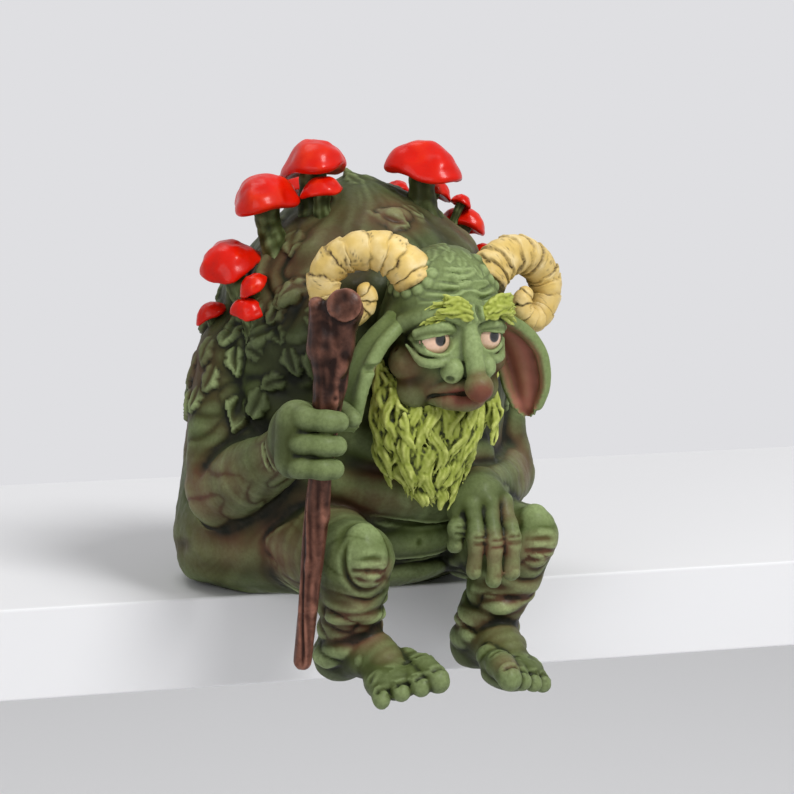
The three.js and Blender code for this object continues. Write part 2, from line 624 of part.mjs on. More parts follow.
function foot(side) {
  const { ankle } = legJoints(side);
  const heel = ankle.clone().add(vector(0, HEEL_BACK * 0.5, -HEEL_RADIUS * 0.6));
  const toeIn = side === LEFT ? LEFT_TOE_IN : RIGHT_TOE_IN;
  const sole = heel.clone().add(vector(-side * toeIn, -FOOT_LENGTH, -FOOT_DROP));
  return (grow = 0) => {
    const forms = [
      limb([heel, ankle.clone().lerp(sole, 0.5), sole],
        [HEEL_RADIUS, HEEL_RADIUS * 0.95, BALL_HALF[2]], grow, { sides: 10, steps: 3 }),
      ball(sole, BALL_HALF, grow, 10),
    ];
    TOE_RADII.forEach((radius, toe) => {
      const share = toe / (TOE_RADII.length - 1);
      const root = sole.clone().add(vector(side * TOE_SPREAD * (share - 0.5) * 0.8, 0,
        FOOT_ROLL * (0.5 - share)));
      const tip = root.clone().add(vector(side * TOE_SPREAD * (share - 0.5) * 0.3,
        -TOE_REACH[toe] - BALL_HALF[1] * 0.4, -1));
      forms.push(limb([root, tip], [radius, radius], grow, { sides: 6, steps: 1 }));
    });
    return join(...forms);
  };
}

// Mushrooms: the stalk is let into the hump, and the cap sits over the stalk's end
function mushroom([height, turn, length, capRadius, lean]) {
  const foot = onTorso(height, turn);
  const along = outOfTorso(height, turn).multiplyScalar(lean).add(UP).normalize();
  const capHeight = capRadius * CAP_HEIGHT;
  const radius = capRadius * STALK_RADIUS;
  const end = length + capHeight * STALK_REACH;
  const sides = capRadius > 4 ? 10 : 7;
  const stalk = (grow = 0) => turned([
    [0, -STALK_SINK],
    [radius * 1.2, -STALK_SINK],
    [radius * 1.25, 0],
    [radius, length * 0.6],
    [radius, end],
    [0, end],
  ], foot, along, grow, 6);
  const cap = (grow = 0) => turned([
    [0, length],
    [capRadius * 0.9, length - capHeight * 0.14],
    [capRadius, length + capHeight * 0.04],
    [capRadius * 0.82, length + capHeight * 0.42],
    [capRadius * 0.5, length + capHeight * 0.84],
    [0, length + capHeight],
  ], foot, along, grow, sides);
  return { stalk, cap };
}

// Small castings keep their whole form, and each later one is cut back from those before it
const castings = [];

const boxesMeet = (a, b) => [0, 1, 2].every((i) => a.min[i] <= b.max[i] && b.min[i] <= a.max[i]);

function cast(name, form, finish) {
  let body = form();
  for (const earlier of castings) {
    if (boxesMeet(earlier.room.boundingBox(), body.boundingBox())) body = body.subtract(earlier.room);
  }
  castings.push({ name, body, finish, room: form(GLUE_GAP) });
}

cast('staff', staff, STAFF_PAINT);
cast('right_hand', fist, SKIN);
cast('left_hand', openHand, SKIN);
for (const [word, side] of [['right', RIGHT], ['left', LEFT]]) {
  cast(`${word}_eye`, eye(side), EYE_PAINT);
  cast(`${word}_brow`, brow(side), BEARD_PAINT);
  cast(`${word}_horn`, horn(side), HORN_PAINT);
  cast(`${word}_ear`, ear(side), SKIN);
  cast(`${word}_foot`, foot(side), SKIN);
}
cast('head', head, SKIN);
for (const [word, rows] of [['right', RIGHT_MUSHROOMS], ['left', LEFT_MUSHROOMS]]) {
  rows.forEach((row, i) => {
    const { stalk, cap } = mushroom(row);
    cast(`${word}_stalk_${i + 1}`, stalk, SKIN);
    cast(`${word}_cap_${i + 1}`, cap, CAP_PAINT);
  });
}
for (const [word, side] of [['right', RIGHT], ['left', LEFT]]) {
  cast(`${word}_arm`, arm(side), SKIN);
  cast(`${word}_leg`, leg(side), SKIN);
}
cast('torso', torso, SKIN);
cast('beard', beard, BEARD_PAINT);

const troll = new THREE.Group();
for (const { name, body, finish } of castings) {
  const { vertProperties, triVerts } = body.getMesh();
  const geometry = new THREE.BufferGeometry();
  geometry.setAttribute('position', new THREE.BufferAttribute(vertProperties, 3));
  geometry.setIndex(new THREE.BufferAttribute(triVerts, 1));
  geometry.computeVertexNormals();
  const mesh = new THREE.Mesh(geometry, new THREE.MeshStandardMaterial(finish));
  mesh.name = name;
  troll.add(mesh);
}

export default troll;
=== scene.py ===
# Looks of the seated troll figure: every casting is sculpted in virtual clay, in millimetres, and
# painted by masks that come from the sculpted relief.
import math
from types import SimpleNamespace

import bpy
import numpy as np
import openvdb
from mathutils import Euler, Matrix, Vector


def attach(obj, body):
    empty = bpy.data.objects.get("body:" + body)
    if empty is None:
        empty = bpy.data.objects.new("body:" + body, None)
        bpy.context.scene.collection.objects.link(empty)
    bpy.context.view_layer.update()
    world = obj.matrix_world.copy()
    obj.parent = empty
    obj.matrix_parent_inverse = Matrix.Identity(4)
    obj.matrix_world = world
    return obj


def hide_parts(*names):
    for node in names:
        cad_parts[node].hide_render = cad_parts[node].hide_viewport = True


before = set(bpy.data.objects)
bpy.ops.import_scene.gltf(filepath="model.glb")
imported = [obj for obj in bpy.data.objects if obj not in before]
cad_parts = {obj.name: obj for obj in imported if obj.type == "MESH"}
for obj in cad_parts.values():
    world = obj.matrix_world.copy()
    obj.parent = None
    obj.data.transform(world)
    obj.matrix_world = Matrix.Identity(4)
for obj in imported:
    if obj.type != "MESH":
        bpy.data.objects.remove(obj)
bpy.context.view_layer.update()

bl_info = {
    "name": "Seated Troll",
    "version": (1, 0, 0),
    "blender": (4, 5, 0),
    "location": "View3D > Sidebar > Troll",
    "description": "Sculpts and paints a resin troll that sits with its feet hanging down",
    "category": "Object",
}

MM = 0.001
RIGHT = -1
LEFT = 1
SIDE_NAMES = {RIGHT: "right", LEFT: "left"}
FAR_AWAY = 9.0
# Turns the noise off the axes of the castings, so that its cells don't show as squares
NOISE_TILT = np.array(Euler((0.6, 0.4, 0.9)).to_matrix())

# Places in millimetres, in the frame of the castings
TORSO_SECTIONS = (
    (-0.5, 27, 10, 25), (2.5, 31, 15.5, 29), (9, 32.5, 23, 31.5), (20, 30.5, 26.5, 32),
    (30, 29.5, 28, 31), (40, 29.5, 29, 28.5), (50, 29, 29, 25), (60, 26, 27.5, 20),
    (69, 20, 22.5, 14), (75.5, 13, 14.5, 9.5), (79.5, 6, 7.5, 4), (80.7, 0.5, 2.2, -1.2),
)
SECTION_FULLNESS = 2.3
ROLL_HEIGHT = 8.5
ROLL_COUNT = 5
LOBE_HEIGHT = 9.5
LOBE_COUNT = 16
SHOULDER = {RIGHT: (-24.5, -1, 45), LEFT: (24.5, -1, 45)}
ELBOW = {RIGHT: (-29.7, -2.6, 21), LEFT: (27.6, -10.5, 21)}
WRIST = {RIGHT: (-28.2, -27, 32.5), LEFT: (10.8, -30, 21.5)}
GRIP = np.array((-26.25, -36.67, 35.1))
STAFF_AXIS = np.array((0.0776, -0.0627, 0.995))
STAFF_BORE = 2.95
HIP = {RIGHT: (-16, 0, 11.5), LEFT: (16, 0, 11.5)}
KNEE = {RIGHT: (-18, -33, 11.5), LEFT: (17.6, -33, 11.5)}
ANKLE = {RIGHT: (-15.6, -25.5, -5.5), LEFT: (15.0, -25.5, -7.1)}
TOE_IN = {RIGHT: 3.6, LEFT: 1.4}
EYE = {RIGHT: (-6.0, -40.7, 53.0), LEFT: (5.1, -40.7, 53.0)}
EYE_RADIUS = 3.5


def linear(code):
    """The linear colour of an sRGB hex code"""
    parts = [int(code[i:i + 2], 16) / 255 for i in (0, 2, 4)]
    return tuple(c / 12.92 if c <= 0.04045 else ((c + 0.055) / 1.055) ** 2.4 for c in parts)


# Clay

def ramp(values, low, high):
    """A soft step from 0 to 1 between two values"""
    t = np.clip((values - low) / (high - low), 0, 1)
    return t * t * (3 - 2 * t)


def unit(v):
    v = np.asarray(v, float)
    return v / np.linalg.norm(v)


def noise(p, size, seed):
    """Smooth noise from -1 to 1 with lumps of about that size"""
    p = p @ NOISE_TILT
    table = np.random.default_rng(seed).uniform(-1, 1, (32, 32, 32))
    cell = np.floor(p / size).astype(int)
    f = p / size - cell
    f = f * f * (3 - 2 * f)
    total = np.zeros(p.shape[:-1])
    for corner in np.ndindex(2, 2, 2):
        weight = np.prod(np.where(corner, f, 1 - f), axis=-1)
        i, j, k = np.moveaxis((cell + corner) % 32, -1, 0)
        total += weight * table[i, j, k]
    return total


def smooth_line(points, count):
    """Evenly numbered points on a smooth line through the given ones"""
    pts = np.asarray(points, float)
    padded = np.vstack([2 * pts[0] - pts[1], pts, 2 * pts[-1] - pts[-2]])
    out = []
    for place in np.linspace(0, len(pts) - 1, count):
        i = min(int(place), len(pts) - 2)
        t = place - i
        a, b, c, d = padded[i:i + 4]
        out.append(0.5 * (2 * b + (c - a) * t + (2 * a - 5 * b + 4 * c - d) * t * t
                          + (3 * b - a - 3 * c + d) * t ** 3))
    return np.array(out)


def ball(centre, half, axes=None):
    """An ellipsoid as a form: its distance and the box that it fills"""
    c = np.asarray(centre, float)
    h = np.ones(3) * half

    def distance(p):
        q = p - c if axes is None else (p - c) @ np.asarray(axes).T
        near = np.linalg.norm(q / h, axis=-1)
        steep = np.linalg.norm(q / (h * h), axis=-1)
        return near * (near - 1) / np.maximum(steep, 1e-6)

    return distance, c - h.max(), c + h.max()


def limb(points, radii, count=0):
    """A round limb along a smooth line through the points"""
    count = count or 4 * (len(points) - 1) + 1
    line = smooth_line(points, count) if len(points) > 2 else np.asarray(points, float)
    thick = np.interp(np.linspace(0, 1, len(line)), np.linspace(0, 1, len(radii)), radii)

    def distance(p):
        best = None
        for a, b, ra, rb in zip(line, line[1:], thick, thick[1:]):
            along = b - a
            t = np.clip((p - a) @ along / max(along @ along, 1e-9), 0, 1)
            d = np.linalg.norm(p - a - t[..., None] * along, axis=-1) - (ra + (rb - ra) * t)
            best = d if best is None else np.minimum(best, d)
        return best

    reach = max(radii)
    return distance, line.min(0) - reach, line.max(0) + reach


def ring(centre, normal, radius, thick, count=24):
    """A closed roll round an axis"""
    n = unit(normal)
    a = unit(np.cross(n, (0.3, 1, 0.2)))
    b = np.cross(n, a)
    turns = np.linspace(0, 2 * math.pi, count + 1)
    points = [np.asarray(centre) + radius * (math.cos(t) * a + math.sin(t) * b) for t in turns]
    return limb(points, [thick, thick], count + 1)


def melt(a, b, blend):
    h = np.clip(0.5 + 0.5 * (b - a) / blend, 0, 1)
    return b + (a - b) * h - blend * h * (1 - h)


class Clay:
    """A block in which forms are melted together and cut away"""

    def __init__(self, low, high, grit):
        self.low = np.asarray(low, float)
        self.grit = grit
        count = np.ceil((np.asarray(high) - self.low) / grit).astype(int) + 1
        self.depth = np.full(count, FAR_AWAY, np.float32)
        self.parts = {}

    def block(self, low, high):
        first = np.floor((low - self.low) / self.grit).astype(int).clip(0)
        last = (np.ceil((high - self.low) / self.grit).astype(int) + 1).clip(0)
        last = np.minimum(last, self.depth.shape)
        axes = [self.low[i] + self.grit * np.arange(first[i], last[i]) for i in range(3)]
        where = tuple(slice(a, b) for a, b in zip(first, last))
        return where, np.stack(np.meshgrid(*axes, indexing="ij"), -1).astype(np.float32)

    def add(self, form, blend=0.6, part=None):
        distance, low, high = form
        margin = blend + 3 * self.grit
        where, p = self.block(low - margin, high + margin)
        if p.size:
            self.depth[where] = melt(self.depth[where], distance(p), blend)
        self.parts.setdefault(part, []).append(distance)

    def cut(self, form, blend=0.4):
        distance, low, high = form
        margin = blend + 3 * self.grit
        where, p = self.block(low - margin, high + margin)
        if p.size:
            self.depth[where] = -melt(-self.depth[where], distance(p), blend)

    def surface(self):
        grid = openvdb.FloatGrid(3.0)
        grid.copyFromArray(np.clip(self.depth, -3, 3))
        points, quads = grid.convertToQuads()
        return Surface(points * self.grit + self.low, quads)

    def owners(self, p):
        """The parts' names, and for each point the number of the part that lies nearest"""
        names = list(self.parts)
        near = [np.min([distance(p) for distance in self.parts[name]], axis=0) for name in names]
        return names, np.argmin(near, axis=0)


class Surface:
    """A sculpted skin of quads, with relief pushed along its normals"""

    def __init__(self, points, quads):
        self.p = np.asarray(points, float)
        self.quads = np.asarray(quads, int)
        pairs = np.concatenate([self.quads[:, [i, (i + 1) % 4]] for i in range(4)])
        pairs = np.unique(np.sort(pairs, axis=1), axis=0)
        self.a = np.concatenate([pairs[:, 0], pairs[:, 1]])
        self.b = np.concatenate([pairs[:, 1], pairs[:, 0]])
        self.degree = np.maximum(np.bincount(self.a, minlength=len(self.p)), 1)
        self.masks = {}

    def spread(self, values, rounds):
        """Values averaged with their neighbours'"""
        for _ in range(rounds):
            if values.ndim == 1:
                mean = np.bincount(self.a, values[self.b], len(self.p)) / self.degree
            else:
                mean = np.stack([np.bincount(self.a, column[self.b], len(self.p)) / self.degree
                                 for column in values.T], -1)
            values = 0.5 * values + 0.5 * mean
        return values

    def normals(self):
        a, b, c, d = (self.p[self.quads[:, i]] for i in range(4))
        face = np.cross(c - a, d - b)
        total = np.zeros_like(self.p)
        for i in range(4):
            for axis in range(3):
                total[:, axis] += np.bincount(self.quads[:, i], face[:, axis], len(self.p))
        return total / np.maximum(np.linalg.norm(total, axis=1), 1e-9)[:, None]

    def push(self, amount):
        self.p = self.p + amount[:, None] * self.normals()

    def relax(self, rounds):
        self.p = self.spread(self.p, rounds)

    def hollow(self, rounds):
        """How far each point lies below its surroundings, in millimetres"""
        return np.sum((self.spread(self.p, rounds) - self.p) * self.normals(), axis=1)

    def line_gap(self, points, reach, count=0):
        """The points near a line, how far they are from it and where along it"""
        line = smooth_line(points, count or 5 * (len(points) - 1) + 1)
        box = np.all((self.p > line.min(0) - reach) & (self.p < line.max(0) + reach), axis=1)
        near = np.nonzero(box)[0]
        gap = np.full(len(near), FAR_AWAY)
        place = np.zeros(len(near))
        for i, (a, b) in enumerate(zip(line, line[1:])):
            along = b - a
            t = np.clip((self.p[near] - a) @ along / max(along @ along, 1e-9), 0, 1)
            d = np.linalg.norm(self.p[near] - a - t[:, None] * along, axis=1)
            closer = d < gap
            gap[closer] = d[closer]
            place[closer] = (i + t[closer]) / (len(line) - 1)
        return near, gap, place

    def crease(self, lines, width, depth, lip=0.35):
        """Drawn grooves with a soft lip on both sides, fading out at their ends"""
        amount = np.zeros(len(self.p))
        for points in lines:
            near, gap, place = self.line_gap(points, width * 4)
            fade = np.clip(np.minimum(place, 1 - place) * 5, 0, 1) ** 0.7
            cut = -depth * np.exp(-(gap / width) ** 2)
            rise = lip * depth * np.exp(-((gap - 2.1 * width) / width) ** 2)
            amount[near] = np.minimum(amount[near], fade * cut) + np.maximum(fade * rise, 0)
        self.push(amount)

    def lumps(self, spots, radius, height):
        amount = np.zeros(len(self.p))
        for spot in spots:
            gap = np.linalg.norm(self.p - spot, axis=1)
            amount = np.maximum(amount, height * np.clip(1 - (gap / radius) ** 2, 0, 1) ** 0.7)
        self.push(amount)

    def pick(self, region, spacing, seed):
        """Points of the surface in a region, at least a spacing apart"""
        order = np.random.default_rng(seed).permutation(np.nonzero(region)[0])
        chosen = []
        for i in order[:6000]:
            if not chosen or np.min(np.linalg.norm(self.p[chosen] - self.p[i], axis=1)) > spacing:
                chosen.append(i)
        return np.array(chosen)

    def leaves(self, roots, down, length, width, height, seed):
        """Ragged, pointed leaves that lie on the surface like shingles"""
        normals = self.normals()
        rng = np.random.default_rng(seed)
        amount = np.zeros(len(self.p))
        for i in roots:
            n = normals[i]
            size = rng.uniform(0.7, 1.3)
            flow = down(self.p[i]) + rng.normal(0, 0.4, 3)
            u = unit(flow - n * (flow @ n))
            v = np.cross(n, u)
            q = self.p - self.p[i]
            near = np.nonzero(np.einsum("ij,ij->i", q, q) < (length * size * 1.1) ** 2)[0]
            q = q[near]
            a = q @ u / (length * size)
            b = q @ v / (width * size) + 0.25 * np.sin(a * 2.4 + rng.uniform(0, 6))
            inside = (a > 0) & (a < 1) & (np.abs(q @ n) < 2.5)
            teeth = 0.3 * np.abs(np.sin(2.5 * np.pi * a + rng.uniform(0, 3)))
            edge = 2.0 * a.clip(0) ** 0.6 * (1 - a).clip(0) ** 0.8 * (0.85 + teeth)
            flap = np.clip(2.2 * (1 - np.abs(b) / np.maximum(edge, 1e-3)), 0, 1) ** 0.8
            rib = -0.3 * np.exp(-(b / 0.22) ** 2)
            rise = height * size * flap * (0.25 + 0.75 * a.clip(0, 1) + rib)
            amount[near] = np.where(inside, np.maximum(amount[near], rise), amount[near])
        self.push(amount)


def blob(p, spots):
    """A soft mask round a list of spots: place, radius and strength"""
    mask = np.zeros(len(p))
    for centre, radius, strength in spots:
        gap = np.linalg.norm((p - centre) / np.asarray(radius), axis=1)
        mask = np.maximum(mask, strength * np.clip(1.4 - gap, 0, 1))
    return mask


def paint_masks(surface, fine, coarse, wash_and_shade_gain=3.0, rub_and_highlight_gain=3.0, broad=0):
    """Dark wash and painted shade in what lies low, dry-brushed paint and painted highlight on what stands
    high
    """
    small = surface.hollow(fine)
    large = surface.hollow(coarse)
    low = small * wash_and_shade_gain + large * wash_and_shade_gain * 0.4
    high = -small * rub_and_highlight_gain - large * rub_and_highlight_gain * 0.2
    if broad:
        low = low + surface.hollow(broad) * wash_and_shade_gain * 0.12
    surface.masks["wash_and_shade"] = np.clip(low, 0, 1)
    surface.masks["rub_and_highlight"] = np.clip(high, 0, 1)


# Pieces

def put(name, points, faces, material, masks, body="figure", normals=None):
    """One painted piece that stands for the casting of that name"""
    mesh = bpy.data.meshes.new(name + "_paint")
    mesh.from_pydata((np.asarray(points) * MM).tolist(), [], [list(map(int, f)) for f in faces])
    mesh.polygons.foreach_set("use_smooth", [True] * len(mesh.polygons))
    for key, values in masks.items():
        layer = mesh.attributes.new(key, "FLOAT", "POINT")
        layer.data.foreach_set("value", np.asarray(values, np.float32))
    mesh.materials.append(material)
    mesh.update()
    if normals is not None:
        mesh.normals_split_custom_set_from_vertices(normals.tolist())
    piece = bpy.data.objects.new(name + "_sculpt", mesh)
    bpy.context.scene.collection.objects.link(piece)
    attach(piece, body)
    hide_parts(name)


def put_surface(name, surface, material, body="figure"):
    put(name, surface.p, surface.quads, material, surface.masks, body)


# Body

def torso_form():
    """The hunched trunk, from its rounded sections"""
    table = np.array(TORSO_SECTIONS)
    step = 0.25
    heights = np.arange(table[0, 0], table[-1, 0] + step, step)
    soft = np.hanning(27) / np.hanning(27).sum()
    rows = []
    for column in (1, 2, 3):
        values = np.interp(heights, table[:, 0], table[:, column])
        rows.append(np.convolve(np.pad(values, 13, mode="edge"), soft, mode="valid"))
    half, front, back = rows
    thin = np.minimum(half, (front + back) / 2)
    slope = np.gradient(thin, step)
    top = heights[-1]

    def distance(p):
        z = p[..., 2]
        width, forward, behind = (np.interp(z, heights, row) for row in (half, front, back))
        deep = (forward + behind) / 2
        q = (np.abs(p[..., 0]) / width) ** SECTION_FULLNESS
        q += (np.abs(p[..., 1] - (behind - forward) / 2) / deep) ** SECTION_FULLNESS
        q = q ** (1 / SECTION_FULLNESS) - 1
        side = q * np.interp(z, heights, thin) / np.sqrt(1 + np.interp(z, heights, slope) ** 2)
        side = np.maximum(side, z - top)
        return -melt(-side, z, 1.5)

    return distance, np.array((-34, -32, -1.0)), np.array((34, 34, 82.0))


def place(base, *offset):
    return np.asarray(base, float) + offset


def add_belly(clay):
    rolls = (
        (((-26, -8, 31), (-14, -20.6, 24.8), (0, -25.4, 20.4), (12, -22.2, 19.4)), (5.4, 5.0, 4.6, 4.0)),
        (((-24, -12, 40), (-12, -22.6, 33.4), (2, -26.4, 28.6), (14, -23.0, 27.4)), (5.2, 5.0, 4.8, 4.2)),
    )
    for points, radii in rolls:
        clay.add(limb(points, radii), 0.8, "torso")
    clay.add(ball((0.5, -18.9, 12.2), (12.5, 7.8, 5.0)), 0.8, "torso")
    clay.add(ball((0, -15.5, 5.4), (13, 7.2, 3.7)), 0.7, "torso")


def add_arm(clay, side):
    name = SIDE_NAMES[side] + "_arm"
    shoulder, elbow, wrist = SHOULDER[side], ELBOW[side], WRIST[side]
    middle = (np.array(shoulder) + elbow) / 2 + (side * 0.6, 0.5, 0)
    clay.add(ball(shoulder, (8.6, 9.6, 10)), 3, name)
    clay.add(limb((shoulder, middle, elbow), (9.2, 8.3, 7.2)), 1.6, name)
    belly_of_forearm = np.array(elbow) * 0.55 + np.array(wrist) * 0.45 + (side * 0.6, 0, -0.6)
    clay.add(limb((elbow, belly_of_forearm, wrist), (7.2, 6.4, 4.6)), 0.8, name)


def wrap_point(turn, rise, reach):
    """A point beside the staff at the grip: turn 90 is on the figure's front right, 0 on its front left"""
    facing = np.array((-0.5, -0.866, 0))
    right = unit(np.cross(STAFF_AXIS, facing))
    front = np.cross(right, STAFF_AXIS)
    a = math.radians(turn)
    return GRIP + STAFF_AXIS * rise + (right * math.cos(a) + front * math.sin(a)) * reach


def add_fist(clay):
    clay.add(ball(wrap_point(208, 0.2, 5.2), (5.4, 5.4, 6.4)), 1.5, "right_hand")
    clay.add(limb((WRIST[RIGHT], wrap_point(215, 0, 5.6)), (4.6, 5.6)), 1.5, "right_hand")
    clay.add(limb((wrap_point(158, 3.6, 5.6), wrap_point(158, -3.4, 5.4)), (3.9, 3.7)), 1.2, "right_hand")
    for rise, reach in ((4.5, 4.7), (0.1, 4.9), (-4.2, 4.7)):
        turns = ((168, 1.0), (134, 1.24), (110, 1.1), (86, 1.02), (60, 1.0))
        points = [wrap_point(turn, rise, reach * share) for turn, share in turns]
        clay.add(limb(points, (2.2, 2.45, 2.0, 2.2, 1.95)), 0.3, "right_hand")
    thumb = [wrap_point(250, 3.4, 6), wrap_point(300, 5.0, 5.2), wrap_point(350, 4.4, 5.0)]
    clay.add(limb(thumb, (2.6, 2.3, 1.6)), 0.4, "right_hand")


def finger_lines():
    """Left hand: thumb first, each from its knuckle to its tip"""
    return (
        ((4.2, -33.6, 18.8), (3.0, -35.4, 15.8), (2.7, -35.2, 12.6)),
        ((6.2, -35.8, 20.2), (5.2, -38.6, 14.2), (5.0, -38.2, 7.8)),
        ((9.2, -36.6, 20.4), (8.2, -40.3, 13.6), (7.9, -40.6, 6.3)),
        ((12.4, -36.2, 20.0), (11.7, -40.8, 14.2), (11.3, -41.5, 7.6)),
    )


def add_open_hand(clay):
    name = "left_hand"
    wrist = np.array(WRIST[LEFT])
    clay.add(limb((wrist, (9, -33.6, 21.2)), (4.7, 4.6)), 1.2, name)
    clay.add(ball((8.6, -34, 20.2), (6, 3.4, 4.4)), 1.2, name)
    for line in finger_lines():
        clay.add(limb((wrist + (0, 0, 2), line[0]), (1.7, 2.1)), 0.7, name)
        clay.add(limb(line, (2.1, 1.55, 2.0, 1.5, 1.65)), 0.25, name)


def add_leg(clay, side):
    name = SIDE_NAMES[side] + "_leg"
    hip, knee, ankle = HIP[side], KNEE[side], ANKLE[side]
    clay.add(limb((hip, (np.array(hip) + knee) / 2, knee), (10.6, 9.4, 7.4)), 0.9, name)
    shin = (np.array(knee) + ankle) / 2
    clay.add(limb((knee, shin + (0, -0.6, 0), place(ankle, 0, -1, 1)), (7.2, 6.2, 5.5)), 0.8, name)
    cap = place(knee, -0.8 if side == RIGHT else 1.2, -5.2, 2.0)
    look = unit((-0.28 if side == RIGHT else -0.05, -0.95, 0.12))
    across = unit(np.cross(look, (0, 0, 1)))
    clay.add(ball(cap, (4.4, 3.6, 5.9), (across, look, np.cross(across, look))), 0.6, name)
    lean = np.array((-0.5, 0.33, 0.9) if side == RIGHT else (-0.15, 0.2, 0.95))
    for rise, reach, thick in ((0.4, 4.7, 2.3), (4.0, 4.6, 2.2)):
        centre = place(ankle, 0, -0.9 - 0.25 * rise, rise)
        clay.add(ring(centre, lean, reach, thick), 0.4, name)
    for rise, reach, thick in ((4.2, 5.6, 1.9), (1.0, 5.4, 1.8), (-1.8, 5.2, 1.7)):
        roll = [shin + (reach * math.sin(a), -0.4 - reach * math.cos(a),
                        rise + 0.5 * side * math.sin(2 * a) + 0.6 * math.sin(a))
                for a in np.linspace(-1.5, 1.5, 7)]
        clay.add(limb(roll, (thick * 0.6, thick, thick, thick * 0.6)), 0.35, name)


def toe_lines(side):
    """Big toe first, each from its root to its tip, with its radius"""
    sole = place(ANKLE[side], -side * TOE_IN[side], -13.25, -5.5)
    for share, reach, radius in ((0, 4.4, 2.75), (1 / 3, 3.6, 2.2), (2 / 3, 2.2, 2.1), (1, 0.6, 2.05)):
        out = side * 9 * (share - 0.5)
        root = sole + (out * 0.8, 1.5, 3.2 * (0.5 - share) + 0.5)
        yield root, root + (out * 0.3, -reach - 3.6, -1.3), radius


def add_foot(clay, side):
    name = SIDE_NAMES[side] + "_foot"
    ankle = ANKLE[side]
    sole = place(ankle, -side * TOE_IN[side], -13.25, -5.2)
    clay.add(ball(place(ankle, 0, 2.4, -3.4), (5.2, 5.6, 5.0)), 1.2, name)
    instep = (np.array(ankle) + sole) / 2 + (0, 0, 0.9)
    clay.add(limb((place(ankle, 0, 0, -1.5), instep, sole), (5.3, 4.9, 3.6)), 1.2, name)
    clay.add(ball(sole + (0, 0.6, -0.2), (6.2, 5.0, 3.4)), 1.2, name)
    for root, tip, radius in toe_lines(side):
        knuckle = root * 0.55 + tip * 0.45 + (0, 0, 0.9)
        toe = (root + (0, 1.5, 0.4), root, knuckle, tip)
        clay.add(limb(toe, (radius * 0.8, radius * 0.95, radius, radius * 0.85)), 0.25, name)


def torso_relief(surface, share, roll_depth, lobe_depth):
    """Heavy rolls of fat across the back, and rows of hanging lobes over the hump"""
    p = surface.p
    table = np.array(TORSO_SECTIONS)
    half, front, back = (np.interp(p[:, 2], table[:, 0], table[:, i]) for i in (1, 2, 3))
    turn = np.arctan2((2 * p[:, 1] - back + front) / (back + front), p[:, 0] / half)
    wave = p[:, 2] + 5.5 * noise(p, 24, 5)
    groove = 1 - np.abs(np.sin(np.pi * wave / ROLL_HEIGHT)) ** 0.7
    roll = 1 - groove * ramp(noise(p, 12, 8), -0.4, 0.35)
    roll = roll * ramp(np.sin(turn), -0.4, 0.1) * ramp(p[:, 2], 0, 3)
    drape = wave + 2.4 * noise(p, 8, 6) - ROLL_COUNT * ROLL_HEIGHT
    row = np.floor(drape / LOBE_HEIGHT)
    hang = 1 - drape / LOBE_HEIGHT + row
    sway = turn + 0.25 * noise(p, 8, 7)
    lobe = hang * np.abs(np.sin(sway * LOBE_COUNT / 2 + row * np.pi / 2)) * (1 - 0.9 * ramp(p[:, 2], 62, 72))
    amount = np.where(drape < 0, roll_depth * roll, lobe_depth * lobe)
    surface.push(surface.spread(amount * share, 6))


def body_creases(surface, depth):
    lines = [
        ((-20, -17, 23), (-12, -22.5, 19), (-4, -25.5, 16.4), (4, -25.5, 15.8), (10, -23, 15.8)),
        ((-9, -21.5, 9.2), (-2, -23, 8.4), (4, -23, 8.5), (10, -21, 9.2)),
        ((-22, -14, 34), (-13, -23, 28.6), (-2, -27, 24.4), (10, -25, 22.8)),
        ((-16, -20, 27), (-9, -25, 23.4), (-3, -29, 20.6)),
        ((-12, -24, 35), (-4, -28, 31.5), (4, -31, 29.5)),
    ]
    surface.crease(lines, 0.6, depth * 1.1)
    folds = []
    caps = [[(side * x, y, z) for x, y, z in ((24, -20, 19), (26, -13, 13), (28, -5, 6), (27, 2, 1))]
            for side in (RIGHT, LEFT)]
    knuckles = []
    for side in (RIGHT, LEFT):
        knee = place(KNEE[side], -0.8 if side == RIGHT else 1.2, -8.4, 2.0)
        for rise, bow, wide in ((-0.6, 0.5, 3.4), (-2.6, 0.1, 3.9), (-4.4, -0.5, 3.4)):
            offsets = ((-wide, 1.6, rise + 0.5), (0, -0.2, rise + bow), (wide, 1.6, rise - 0.3))
            caps.append([knee + offset for offset in offsets])
        caps.append([knee + (4.7 * math.sin(a), 2.6, 6.0 * math.cos(a) - 0.2)
                     for a in np.linspace(2.0, 5.4, 11)])
        wrist = np.array(WRIST[side])
        folds.append((wrist + (side * 4.6, 1, 2), wrist + (side * 4.8, 0, -1), wrist + (side * 3, 0, -4)))
        for root, tip, radius in toe_lines(side):
            nail = tip + (0, -radius * 0.35, radius * 0.75)
            folds.append([nail + (0.7 * radius * math.sin(a), 0.7 * math.cos(a), 0.1)
                          for a in (-1.8, -0.9, 0, 0.9, 1.8)])
            bend = root * 0.55 + tip * 0.45 + (0, 0, radius + 0.9)
            folds.append((bend + (-radius, 0.2, -0.9), bend + (0, 0, 0.2), bend + (radius, 0.2, -0.9)))
    for line in finger_lines():
        middle = np.array(line[1])
        for shift in (-0.6, 0.6):
            knuckles.append([middle + (aside, ahead, shift)
                             for aside, ahead in ((-1.6, -1.2), (0, -2), (1.6, -1.2))])
    surface.crease(folds, 0.42, depth * 0.8)
    surface.crease(caps, 0.6, depth * 0.6, 0.15)
    surface.crease(knuckles, 0.4, depth * 0.35, 0.2)


